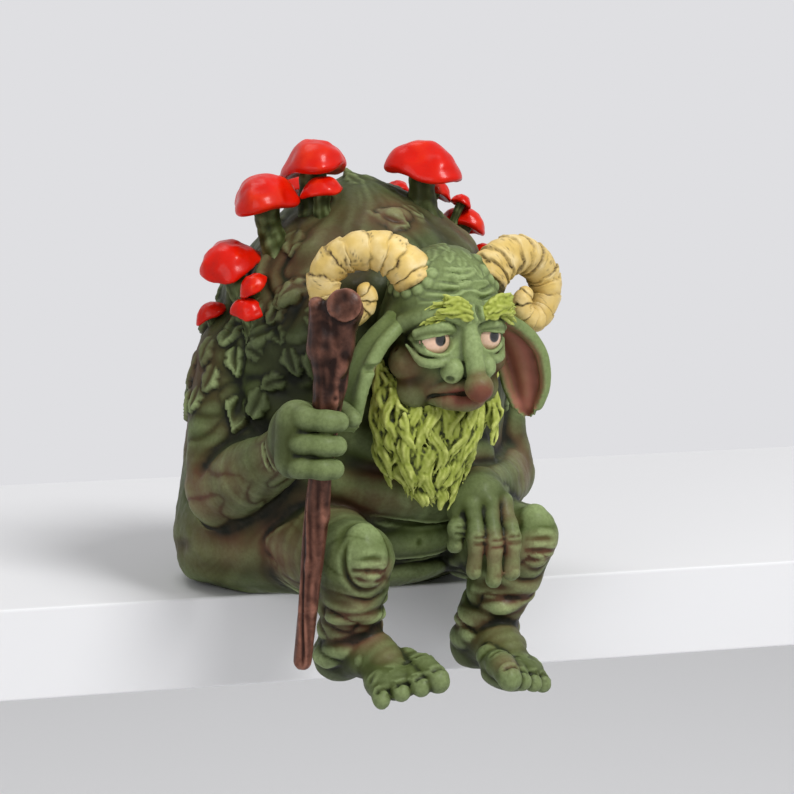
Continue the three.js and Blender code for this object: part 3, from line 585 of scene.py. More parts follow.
def limb_folds(surface, start, end, share, size, around, along, depth, seed):
    """Skin folds on a limb, stretched round it or along it"""
    axis = unit(np.asarray(end, float) - start)
    q = surface.p - start
    length = q @ axis
    flat = q - length[:, None] * axis
    q = flat * around + np.outer(length * along, axis)
    q = q + 0.35 * size * np.stack([noise(surface.p, size * 2, seed + i) for i in (1, 2, 3)], -1)
    surface.push(share * depth * (np.abs(noise(q, size, seed)) ** 0.8 - 0.3))


def torso_bark(surface, on_torso):
    """Folds that run down from the top of the hump like melted wax"""
    p = surface.p
    turn = np.arctan2(p[:, 1] + 4, p[:, 0])
    q = np.stack([17 * np.cos(turn), 17 * np.sin(turn), 0.34 * p[:, 2]], -1)
    q = q + 3.2 * np.stack([noise(p, 9, seed) for seed in (13, 14, 15)], -1)
    drape = noise(q, 7.0, 16)
    folds = np.abs(noise(q, 4.2, 17)) ** 0.8
    share = surface.spread((on_torso & (p[:, 2] > 45)).astype(float), 12) * (1 - 0.75 * ramp(p[:, 2], 66, 76))
    surface.push(surface.spread(share * (1.1 * drape + 1.5 * folds - 0.6), 2))


def cape_region(p, on_torso, on_arms):
    """Where leaves hang: the back and flanks of the hump, and the outside of the shoulders"""
    cape = on_torso & (p[:, 2] > 38) & (p[:, 2] < 62) & ((np.abs(p[:, 0]) > 19) | (p[:, 1] > 8))
    for side in (RIGHT, LEFT):
        outer = (p - SHOULDER[side]) @ np.array((0.74 * side, 0.6, 0.3))
        cape |= on_arms & (p[:, 0] * side > 0) & (outer > 3.5) & (p[:, 2] > 40)
    return cape


def body_leaves(surface, cape, on_torso, length, height):
    """Mossy leaves that hang thick over the shoulders and, thinner, over the hump"""
    p = surface.p
    hump = on_torso & (p[:, 2] > 54) & (p[:, 1] > -16) & (noise(p, 11, 18) > 0.15)
    middle = np.array((0, -2, 74))

    def down(q):
        swirl = np.array((noise(q[None], 12, 19)[0], noise(q[None], 12, 20)[0], 0.0))
        return unit((q - middle) * (0.7, 0.7, 0.2) + (0, 0, -9) + 8 * swirl)

    surface.leaves(surface.pick(hump, length * 1.5, 11), down, length, length * 0.5, height * 0.7, 12)
    surface.leaves(surface.pick(cape, length * 0.9, 21), down, length * 1.2, length * 0.58, height * 1.4, 22)


def body_marks(surface):
    """Navel, warts on the feet, swollen fingertips, and the brown knot on the hump"""
    gap = np.linalg.norm(surface.p - (0, -26.4, 12), axis=1)
    surface.push(-0.4 * np.exp(-(gap / 0.7) ** 2))
    for side in (RIGHT, LEFT):
        top = place(ANKLE[side], -side * TOE_IN[side] * 0.8, -9.5, -1.0)
        spots = [top + (side * 3.4, 1.4, -0.8), top + (0.4, -1.6, -1.2), top + (-side * 4.4, -1.0, -1.0)]
        surface.lumps(spots, 2.3, 0.9)
    tips = [np.array(line[-1]) + (0, -1.6, -0.2) for line in finger_lines()]
    surface.lumps(tips, 1.2, 0.25)
    knot = np.array((0.6, -16.2, 73.6))
    gap = np.linalg.norm((surface.p - knot) * (0.75, 1, 1.2), axis=1)
    surface.push(1.2 * np.clip(1 - (gap / 2.7) ** 2, 0, 1))
    fold = [knot + offset for offset in
            ((-4, 1.5, 1.5), (-3.6, 0, -2), (0, -1.6, -3.4), (4, -0.6, -3), (5, 1, 0.5))]
    surface.crease([fold], 0.6, 0.9, 0.6)


# Patches of paint: middle, half widths and strength
BROWN_SPOTS = (
    ((-33, -4, 22), (9, 10, 8), 1.0), ((-30, -15, 26), (8, 9, 6), 1.0), ((-29, -25, 31), (6, 5, 5), 0.9),
    ((-28, -6, 34), (6, 6, 3), 0.7), ((-10, -24, 21), (13, 6, 3.4), 1.0), ((6, -26, 25), (11, 6, 4), 0.9),
    ((-23, -16, 13), (7, 11, 9), 1.0), ((-17.6, -41, 9.5), (6, 4, 3), 1.0), ((-20, -34, 2), (5, 6, 7), 1.0),
    ((-16, -32, -3), (7, 6, 3), 1.0), ((-13, -37, -6.5), (3, 3, 2), 1.0), ((18, -41, 10), (6, 4, 4), 1.0),
    ((16, -35, 1), (7, 6, 5), 0.9), ((14, -33, -7), (5, 7, 3), 0.8), ((24, -16, 24), (9, 10, 7), 1.0),
    ((8, -41, 12), (7, 3, 3.5), 0.9), ((0, -16, 74), (7, 6, 5), 1.0), ((-15, -12, 63), (12, 11, 10), 1.0),
    ((14, -8, 66), (11, 10, 10), 0.8), ((-4, -10, 70), (10, 10, 7), 0.8), ((-24, 14, 30), (10, 10, 7), 0.7),
    ((0, 28, 26), (15, 8, 9), 0.6), ((20, 18, 40), (11, 11, 9), 0.7), ((-8, 20, 56), (12, 10, 9), 0.8),
    ((26, 6, 20), (9, 10, 9), 0.7), ((8, 14, 68), (9, 9, 8), 0.7), ((0, 30, 8), (15, 6, 5), 0.5),
    ((-31, 2, 42), (5, 9, 9), 0.8), ((31, 0, 42), (5, 9, 9), 0.8), ((-30, 6, 8), (6, 12, 6), 0.5),
    ((10.5, -41, 8), (4, 3, 3), 0.9), ((4.5, -38, 9), (3, 3, 4), 0.8), ((12, -38, 18), (3, 3, 3), 0.7),
    ((-28, -3, 12), (8, 12, 6), 0.9), ((-20, -22, 20), (8, 7, 4), 0.8), ((-4, -26, 26), (12, 5, 3), 0.8),
    ((13, -30, -4), (9, 8, 2.4), 0.8), ((-15, -30, -2), (9, 8, 2.4), 0.8), ((9, -44, -9), (3, 3, 2), 0.8),
)
# Lighter green as painted highlight on the fist, the left hand, the knees, shins and feet, the belly and the
# right shoulder
FRESH_AND_HIGHLIGHT_SPOTS = (
    ((-28, -42, 35), (6, 5, 8), 0.5), ((-24, -41, 35), (6, 6, 8), 0.5), ((7, -36, 20), (9, 5, 5), 0.35),
    ((-12, -42, -8), (8, 7, 6), 0.35), ((11, -43, -10), (8, 7, 6), 0.35), ((-18, -40, 17), (6, 5, 4), 0.8),
    ((0, -26, 13), (9, 5, 4), 0.7), ((-8, -26, 25), (15, 6, 8), 0.6), ((-25, -9, 42), (5, 6, 6), 0.8),
    ((18, -40, 16), (6, 5, 5), 0.7), ((-14, -35, -4), (5, 6, 5), 0.5), ((12, -36, -6), (5, 6, 5), 0.5),
    ((6, -40, 8), (8, 4, 4), 0.5),
)


def split(surface, names, owner):
    """Cuts one skin into pieces that meet edge to edge, one for each owner"""
    normals = surface.normals()
    for index, name in enumerate(names):
        faces = surface.quads[owner == index]
        used, flat = np.unique(faces, return_inverse=True)
        masks = {key: values[used] for key, values in surface.masks.items()}
        yield name, surface.p[used], flat.reshape(faces.shape), masks, normals[used]


def make_body(sizes, material):
    clay = Clay((-40, -50, -20), (38, 36, 87), sizes.body_grit)
    clay.add(torso_form(), 0.5, "torso")
    add_belly(clay)
    tuft = ((-0.8, -2.6, 76.5), (-1.4, -2.4, 79.5), (-2.6, -2.2, 82.4))
    clay.add(limb(tuft, (3.6, 1.7, 0.2)), 0.9, "torso")
    for side in (RIGHT, LEFT):
        add_leg(clay, side)
        add_foot(clay, side)
        add_arm(clay, side)
    add_fist(clay)
    add_open_hand(clay)
    bore = [GRIP + STAFF_AXIS * rise for rise in (-14, 14)]
    clay.cut(limb(bore, (STAFF_BORE, STAFF_BORE)), 0.3)
    surface = clay.surface()
    names, part = clay.owners(surface.p)
    _, owner = clay.owners(surface.p[surface.quads].mean(1))
    on_torso = part == names.index("torso")
    on_arms = (part == names.index("right_arm")) | (part == names.index("left_arm"))
    bare_fist = (part != names.index("right_hand")).astype(float)
    surface.relax(1)
    torso_relief(surface, surface.spread(on_torso.astype(float), 3), sizes.roll_depth, sizes.lobe_depth)
    for side in (RIGHT, LEFT):
        arm = surface.spread((part == names.index(SIDE_NAMES[side] + "_arm")).astype(float), 4)
        leg = surface.spread((part == names.index(SIDE_NAMES[side] + "_leg")).astype(float), 4)
        below = ramp(surface.p[:, 2], 8, 3)
        limb_folds(surface, ELBOW[side], WRIST[side], arm, 3.6, 1.0, 0.32, 0.5, 131)
        limb_folds(surface, KNEE[side], ANKLE[side], leg * below, 2.8, 0.34, 1.0, 1.2, 141)
        limb_folds(surface, HIP[side], KNEE[side], leg * (1 - below), 4.4, 0.8, 0.4, 0.5, 151)
    body_creases(surface, sizes.crease_depth)
    torso_bark(surface, on_torso)
    cape = cape_region(surface.p, on_torso, on_arms)
    body_leaves(surface, cape, on_torso, sizes.leaf_length, sizes.leaf_height)
    body_marks(surface)
    paint_masks(surface, 4, 40, 6.0, 5.5, 260)
    surface.push(bare_fist * (0.2 * noise(surface.p, 3.1, 31) + 0.1 * noise(surface.p, 1.4, 32)))
    seated = on_torso | (surface.p[:, 1] > -9)
    surface.p[:, 2] = np.where(seated, np.maximum(surface.p[:, 2], 0), surface.p[:, 2])
    p = surface.p
    # Painted light from above: what faces up gets more dry-brushed paint as painted highlight, what faces
    # down more wash as painted shade
    lit = surface.spread(surface.normals()[:, 2], 8)
    # Dark moss green over the leaves, and a thinner coat of it as painted shade on the back and the top of
    # the torso
    behind = np.maximum(ramp(p[:, 1], -18, -6), ramp(p[:, 2], 46, 52))
    thin_moss_and_shade = np.where(on_torso, 0.75 * behind * ramp(p[:, 2], 20, 45), 0.0)
    moss_and_shade = surface.spread(np.where(cape, 1.0, thin_moss_and_shade), 10)
    surface.masks["deep"] = np.clip(moss_and_shade * (0.9 + 0.4 * noise(p, 7, 43)), 0, 1)
    brushed_and_lit = (surface.masks["rub_and_highlight"] + 0.15 * ramp(lit, 0.2, 0.95)) * (1 - 0.65 * moss_and_shade)
    surface.masks["rub_and_highlight"] = np.clip(brushed_and_lit, 0, 1)
    surface.masks["wash_and_shade"] = np.clip(surface.masks["wash_and_shade"] + 0.5 * ramp(-lit, -0.05, 0.9), 0, 1)
    patchy = 0.95 + 0.35 * noise(p, 8, 41) + 0.15 * noise(p, 3, 42)
    surface.masks["warm"] = np.clip(blob(p, BROWN_SPOTS) * patchy, 0, 1)
    # Lighter green in patches, which is painted highlight
    surface.masks["fresh_and_highlight"] = np.clip(blob(p, FRESH_AND_HIGHLIGHT_SPOTS), 0, 1)
    # Hands and feet: less dry-brushed paint and painted highlight, and more wash and painted shade between
    # the fingers and toes; the belly gets less wash and painted shade
    ends = [names.index(name) for name in names if name.endswith(("_hand", "_foot"))]
    ends = surface.spread(np.isin(part, ends).astype(float), 4)
    surface.masks["rub_and_highlight"] *= 1 - 0.4 * ends
    belly = np.clip(blob(p, (((-2, -25, 20), (17, 7, 10), 1.0),)), 0, 1)
    surface.masks["wash_and_shade"] = np.clip(surface.masks["wash_and_shade"] * (1 + 0.7 * ends) * (1 - 0.55 * belly), 0, 1)
    for name, points, faces, masks, normals in split(surface, names, owner):
        put(name, points, faces, material, masks, normals=normals)


# Head

def mirrored(points, side):
    """Points given for the left side, put on either side"""
    return np.asarray(points, float) * (side, 1, 1)


def lid(eye, side, thick, tilt, rise):
    """A shell over the upper part of an eye, with a slanting straight edge"""
    middle = np.asarray(eye, float)
    a = math.radians(tilt * side)
    up = np.array((math.sin(a), 0.12, math.cos(a)))

    def distance(p):
        q = p - middle
        shell = np.abs(np.linalg.norm(q, axis=-1) - EYE_RADIUS - thick / 2 - 0.03) - thick / 2
        edge = rise - q @ up
        return -melt(-shell, -edge, 0.3)

    reach = EYE_RADIUS + thick + 0.2
    return distance, middle - reach, middle + reach


def add_face(clay):
    clay.add(ball((0, -34.5, 57.5), (11, 10.2, 12.2)), 0.5, "head")
    clay.add(ball((0, -35.6, 46.0), (9.6, 6.8, 8)), 3.5, "head")
    clay.add(limb(((0, -30, 52), (0, -23, 50)), (10.5, 11)), 3, "head")
    ridge = ((-10.4, -38.4, 56.0), (-5.6, -43.2, 57.8), (0, -44.0, 56.8), (5.4, -43.2, 57.8),
             (10, -38.6, 56.0))
    clay.add(limb(ridge, (1.7, 1.9, 1.7, 1.9, 1.7)), 1.3, "head")
    for side in (RIGHT, LEFT):
        eye = np.array(EYE[side])
        clay.cut(ball(eye + (0, -2.8, 0.4), (4.5, 2.6, 3.5)), 1.2)
        clay.add(ball(mirrored((8.4, -36.8, 48.4), side), (3.9, 3.5, 3.5)), 1.2, "head")
        clay.add(ball(mirrored((7.4, -36.8, 43.0), side), (3.2, 3.0, 3.2)), 1.4, "head")
        ear_root = mirrored(((6.5, -34, 57.2), (9.5, -35, 56.6), (12.0, -35.3, 54.9)), side)
        clay.add(limb(ear_root, (3.0, 2.5, 1.1)), 1.4, "head")
        clay.add(ball(eye + (0, 0.3, 0), EYE_RADIUS + 0.35), 0.6, "head")
        rolls = (
            (((-2.9, -2.7, -1.3), (-0.2, -3.4, -2.4), (3.0, -1.6, -1.7), (3.9, 0.2, 0.2)),
             (0.5, 0.6, 0.55, 0.4)),
            (((-2.6, -3.4, -2.8), (-0.1, -3.4, -4.0), (3.0, -1.7, -3.8), (4.9, 0.6, -0.8)),
             (0.5, 0.85, 0.85, 0.3)),
        )
        for offsets, radii in rolls:
            clay.add(limb([eye + mirrored(offset, side) for offset in offsets], radii), 0.6, "head")
        clay.cut(ball(eye + (-0.1 * side, -3.6, -0.55), (3.2, 2.4, 1.8)), 0.2)
        clay.cut(ball(eye, EYE_RADIUS + 0.04), 0.05)
        clay.add(lid(eye, side, 0.75, 6, 0.45), 0.25, "head")
        hood = [eye + (shift * side, back, rise) for shift, back, rise in
                ((-3.4, -2.6, 1.9), (0, -3.8, 2.7), (3.8, -1.1, 1.4))]
        clay.add(limb(hood, (0.75, 1.0, 0.8)), 0.3, "head")
    nose = ((0, -43.4, 58.0), (-0.3, -45.1, 54.0), (-0.1, -46.1, 49.8), (0, -46.9, 46.6))
    clay.add(limb(nose, (1.4, 1.6, 1.75, 1.7)), 0.8, "head")
    clay.add(ball((-0.2, -45.9, 51.4), (1.8, 1.5, 2.7)), 0.5, "head")
    clay.add(ball((0.1, -47.6, 44.4), (2.65, 2.7, 2.75)), 0.4, "head")
    for side in (RIGHT, LEFT):
        flank = mirrored(((1.5, -43.2, 54), (2.4, -43.4, 49.6)), side)
        clay.add(limb(flank, (1.2, 1.5)), 1.0, "head")
        clay.add(ball(mirrored((3.5, -44.0, 47.5), side), (2.15, 2.4, 2.5)), 0.3, "head")
    upper = ((-6.6, -38.2, 43.0), (-3.4, -41.9, 44.0), (0, -43.2, 44.2), (3.4, -41.9, 44.0),
             (6.6, -38.2, 43.0))
    lower = ((-5.8, -38.8, 41.6), (-3.0, -42.3, 41.4), (0, -43.6, 41.2), (3.0, -42.3, 41.4),
             (5.8, -38.8, 41.6))
    clay.add(limb(upper, (0.9, 1.35, 1.4, 1.35, 0.9)), 0.5, "head")
    clay.add(limb(lower, (0.8, 1.6, 1.8, 1.6, 0.8)), 0.25, "head")
    for side in (RIGHT, LEFT):
        clay.cut(ball(mirrored((4.6, -45.2, 45.9), side), (0.8, 1.0, 0.75)), 0.25)


def face_lines(surface, depth):
    lines = [
        ((-8.6, -40.2, 60.6), (-4.6, -43.2, 60.0), (-1, -44.9, 61.2), (3, -44.2, 60.4), (8, -41, 60.8)),
        ((-7.6, -41, 62.2), (-3, -43.8, 61.9), (0, -44.6, 62.9), (3.2, -43.8, 61.9), (7, -41.4, 62.5)),
        ((-6, -41.8, 64.0), (-1.5, -43.8, 63.5), (2, -43.8, 64.6), (6, -41.8, 63.7)),
        ((-4, -42, 65.6), (-0.5, -43, 65.1), (3, -42.6, 66)),
        ((-1.5, -44.8, 59.4), (-1.1, -45.4, 57.9), (-1.5, -45.4, 56.2)),
        ((1.5, -44.8, 59.4), (1.1, -45.4, 57.9), (1.5, -45.4, 56.2)),
    ]
    surface.crease(lines, 0.4, depth * 1.3, 0.7)
    soft = []
    for side in (RIGHT, LEFT):
        soft.append(mirrored(((10.4, -37, 58), (11.2, -36.6, 53), (11.0, -36.6, 49.8)), side))
    surface.crease(soft, 0.45, depth * 0.45, 0)
    mouth = ((-8.2, -37.0, 41.7), (-4.8, -41.0, 42.6), (0, -44.2, 42.8), (4.8, -41.0, 42.6),
             (8.2, -37.0, 41.7))
    surface.crease([mouth], 0.36, depth * 1.1, lip=0)


def make_head(sizes, material):
    clay = Clay((-14, -53, 35), (14, -21, 72), sizes.face_grit)
    add_face(clay)
    surface = clay.surface()
    face_lines(surface, sizes.crease_depth * 0.75)
    p = surface.p
    crown = (p[:, 2] > 66.3) & (p[:, 1] < -27)

    def forward(q):
        return unit((q[0] * 0.25, -1, -0.5))

    surface.leaves(surface.pick(crown, 2.6, 51), forward, 3.6, 1.6, 0.3, 52)
    spots = []
    for side in (RIGHT, LEFT):
        root = mirrored((8.4, -35.8, 65.9), side)
        for turn in range(0, 360, 36):
            a = math.radians(turn)
            spots.append(root + (4.7 * math.cos(a), 4.7 * math.sin(a) - 0.6, -2.6 - 0.8 * side * math.cos(a)))
    gaps = [surface.p[np.argmin(np.linalg.norm(surface.p - spot, axis=1))] for spot in spots]
    surface.lumps(gaps, 1.25, 0.6)
    paint_masks(surface, 5, 60, 7.0, 5.0)
    surface.push(0.08 * noise(surface.p, 1.5, 61) + 0.1 * noise(surface.p, 4, 62))
    p = surface.p
    patchy = 0.85 + 0.3 * noise(p, 4, 63)
    brown = (((-9.5, -36, 43), (4, 5, 4), 0.6), ((9.5, -36, 43), (4, 5, 4), 0.6),
             ((-6, -41, 44.2), (3, 3, 2.4), 0.7), ((6, -41, 44.2), (3, 3, 2.4), 0.7))
    surface.masks["warm"] = np.clip(blob(p, brown) * patchy, 0, 1)
    red = (((0.1, -48.8, 43.8), (3.6, 4.0, 3.4), 1.2), ((0, -43.6, 42.6), (6.6, 4.4, 2.7), 1.2),
           ((-10, -38.4, 48.4), (3.8, 4, 2.8), 0.6), ((10, -38.4, 48.4), (3.8, 4, 2.8), 0.6))
    surface.masks["red"] = np.clip(blob(p, red) * (0.9 + 0.25 * noise(p, 2, 64)), 0, 1)
    # Painted highlight on the forehead and the nose: lighter green and more dry-brushed paint, less of it on
    # the red
    pale = blob(p, (((0, -45, 52), (9, 7, 10), 1.0), ((0, -42, 62), (11, 9, 8), 1.0)))
    surface.masks["fresh_and_highlight"] = np.clip(pale, 0, 1)
    brushed_and_lit = (surface.masks["rub_and_highlight"] + 0.6 * np.clip(pale, 0, 1)) * (1 - 0.85 * surface.masks["red"])
    surface.masks["rub_and_highlight"] = np.clip(brushed_and_lit, 0, 1)
    # A ring of dark wash and painted shade where the lids meet the eyeballs
    for side in (RIGHT, LEFT):
        gap = np.linalg.norm(p - EYE[side], axis=1) - EYE_RADIUS
        surface.masks["wash_and_shade"] = np.maximum(surface.masks["wash_and_shade"], 0.9 * ramp(gap, 0.55, 0.15))
    put_surface("head", surface, material)


def make_eyes(material):
    """Glossy eyeballs that look past the viewer, with the pupil painted on"""
    for side in (RIGHT, LEFT):
        middle = np.array(EYE[side])
        look = unit((0.02, -0.96, 0.05)) if side == RIGHT else unit((0.16, -0.96, 0.05))
        across = unit(np.cross(look, (0, 0, 1)))
        up = np.cross(across, look)
        rings, sides = 40, 56
        points = [middle + look * EYE_RADIUS]
        angle = [0.0]
        for i in range(1, rings):
            a = math.pi * i / rings
            for j in range(sides):
                b = 2 * math.pi * j / sides
                swell = EYE_RADIUS * (1 + 0.02 * math.exp(-(a / 0.35) ** 2))
                points.append(middle + swell * (look * math.cos(a) + math.sin(a)
                                                * (across * math.cos(b) + up * math.sin(b))))
                angle.append(a)
        points.append(middle - look * EYE_RADIUS)
        angle.append(math.pi)
        faces = [(0, 1 + j, 1 + (j + 1) % sides) for j in range(sides)]
        for i in range(rings - 2):
            a, b = 1 + i * sides, 1 + (i + 1) * sides
            faces += [(a + j, b + j, b + (j + 1) % sides, a + (j + 1) % sides) for j in range(sides)]
        last = len(points) - 1
        faces += [(last, last - 1 - j, last - 1 - (j + 1) % sides) for j in range(sides)]
        put(SIDE_NAMES[side] + "_eye", points, faces, material, {"turn": np.array(angle)})


def strand(clay, root, tip, thick, bend, rng):
    """One wavy lock of hair that narrows to a point"""
    root, tip = np.asarray(root, float), np.asarray(tip, float)
    sway = rng.normal(0, bend, (2, 3))
    line = (root, root * 0.66 + tip * 0.34 + sway[0], root * 0.3 + tip * 0.7 + sway[1], tip)
    clay.add(limb(line, (thick * 0.8, thick, thick * 0.8, 0.12), 9), 0.12)


def make_brows(sizes, material):
    """Tufts of short strands that sweep outward over the eyes"""
    for side in (RIGHT, LEFT):
        rng = np.random.default_rng(71 + side)
        base = mirrored(((1.9, -45.2, 57.8), (4.3, -45.2, 59.2), (6.5, -42.8, 57.8)), side) + (1.0, 0, 0)
        clay = Clay(base.min(0) - 5, base.max(0) + 5, sizes.hair_grit * 0.75)
        clay.add(limb(base, (1.1, 1.6, 1.0)), 0.3)
        line = smooth_line(base, 13)
        for i, spot in enumerate(line):
            share = i / 12
            flow = mirrored((2.6 + 0.6 * share, 0.2 + 1.5 * share, 1.1 - 2.6 * share), side)
            for rise in (-1.2, -0.6, 0, 0.6, 1.2, 1.6):
                root = spot + rng.normal(0, 0.2, 3) + (0, -1.2 + 0.35 * abs(rise), rise)
                tip = root + flow * rng.uniform(0.8, 1.4) + (0, -0.3, rng.normal(0, 0.4))
                strand(clay, root, tip, sizes.strand_width * 0.42, 0.2, rng)
        surface = clay.surface()
        paint_masks(surface, 4, 24, 6, 5)
        surface.masks["fresh_and_highlight"] = np.ones(len(surface.p))
        put_surface(SIDE_NAMES[side] + "_brow", surface, material)


def beard_edge(height):
    """Middle, half width and depth of the beard's body at a height"""
    rows = np.array(((19.8, -1.5, 0.5, 5.4), (22, -1.6, 2.0, 5.8), (24, -1.8, 3.9, 6.4), (27, -2.3, 6.7, 7.2),
                     (30, -2.1, 8.5, 7.8), (33, -1.7, 9.9, 8.2), (38, -1.1, 11.6, 8.2), (44, -0.3, 12.0, 6.3),
                     (50, 0, 11.8, 3.0)))
    return [np.interp(height, rows[:, 0], rows[:, i]) for i in (1, 2, 3)]


def beard_point(turn, height, out=0.0, hang=0.0):
    """A point of the beard's skin: locks that hang stay as wide as they were higher up"""
    middle, wide, deep = beard_edge(height)
    wide = wide + hang * (beard_edge(height + 5)[1] - wide)
    a = math.radians(turn)
    return np.array((middle + (wide + out) * math.sin(a), -31.6 - (deep + out) * math.cos(a), height))


def make_beard(sizes, material):
    """Wavy locks, each a bundle of fine strands that run together at the tip"""
    clay = Clay((-19, -47, 15), (17, -25, 53), sizes.hair_grit)
    for height in np.linspace(23, 38, 13):
        middle, wide, deep = beard_edge(height)
        clay.add(ball((middle, -31.6, height), (max(wide - 1.6, 0.5), max(deep - 1.8, 0.5), 2.4)), 1.2)
    rng = np.random.default_rng(81)
    for height in np.arange(23.6, 43.0, 2.1):
        _, wide, _ = beard_edge(height)
        count = int(round((wide + 4) / (sizes.strand_width * 1.5)))
        for turn in np.linspace(-92, 92, count) + rng.uniform(-9, 9, count):
            slope = min(abs(turn) / 90, 1)
            top = height + 6.0 * slope ** 2.2
            length = (5.0 + 0.36 * (top - 24)) * rng.uniform(0.6, 1.35) * (1 - 0.15 * slope)
            length = min(length, top - 19.9)
            wave, phase = rng.uniform(4, 10) * rng.choice((-1, 1)), rng.uniform(0, 3)
            lift = rng.uniform(0.1, 1.8)
            hang = rng.uniform(0, 1) * float(height < 34)
            broad = sizes.strand_width * rng.uniform(0.8, 1.3)
            for aside in (-1.0, -0.33, 0.33, 1.0):
                end = rng.uniform(0.8, 1.05)
                line = []
                for share in (0, 0.25, 0.5, 0.75, 1):
                    low = top - length * share * end
                    spread = aside * broad * (1 - 0.8 * share ** 1.5) / max(beard_edge(low)[1], 3.0)
                    bend = wave * (math.sin(share * 5.0 + phase) - math.sin(phase)) - turn * 0.1 * share
                    out = lift * math.sin(share * 2.7) - 0.3 - 0.3 * aside * aside
                    line.append(beard_point(turn + bend + math.degrees(spread), low, out, hang * share))
                thick = sizes.strand_width * rng.uniform(0.36, 0.52)
                clay.add(limb(line, (thick * 0.9, thick, thick, thick * 0.8, 0.12), 9), 0.08)
    for side in (RIGHT, LEFT):
        for i in range(14):
            root = mirrored((11.9 - 0.2 * i, -30.8 - 0.5 * i, 50.0 - 0.9 * i), side) + rng.normal(0, 0.4, 3)
            tip = root + mirrored((0.9 - 0.1 * i, -0.8, -6.0), side) * rng.uniform(0.6, 1.2)
            for shift in (-0.8, 0, 0.8):
                strand(clay, root + (shift * 0.6, shift, 0), tip, sizes.strand_width * 0.55, 0.4, rng)
    surface = clay.surface()
    p = surface.p
    bend = p + 0.8 * np.stack([noise(p, 3.2, seed) for seed in (84, 85, 86)], -1)
    surface.push(0.14 * noise(bend * (1, 1, 0.16), 0.65, 82) + 0.06 * noise(p, 1.2, 83))
    paint_masks(surface, 5, 40, 11, 4, 160)
    # Lighter paint towards the top of the beard, as painted highlight
    surface.masks["fresh_and_highlight"] = np.clip((p[:, 2] - 30) / 14, 0, 1)
    put_surface("beard", surface, material)


def tube(line, radii, across, sides):
    """Rings of points along a line: ring, then side"""
    line = np.asarray(line)
    along = np.gradient(line, axis=0)
    along /= np.linalg.norm(along, axis=1)[:, None]
    u = across - along * np.sum(along * across, axis=1)[:, None]
    u /= np.linalg.norm(u, axis=1)[:, None]
    v = np.cross(along, u)
    turn = np.linspace(0, 2 * math.pi, sides, endpoint=False)
    ring_out = u[:, None] * np.cos(turn)[:, None] + v[:, None] * np.sin(turn)[:, None]
    return line[:, None] + ring_out * radii[..., None], turn


def tube_faces(rings, sides):
    grid = np.arange(rings * sides).reshape(rings, sides)
    nxt = np.roll(grid, -1, axis=1)
    quads = np.stack([grid[:-1], nxt[:-1], nxt[1:], grid[1:]], -1).reshape(-1, 4)
    return quads, grid


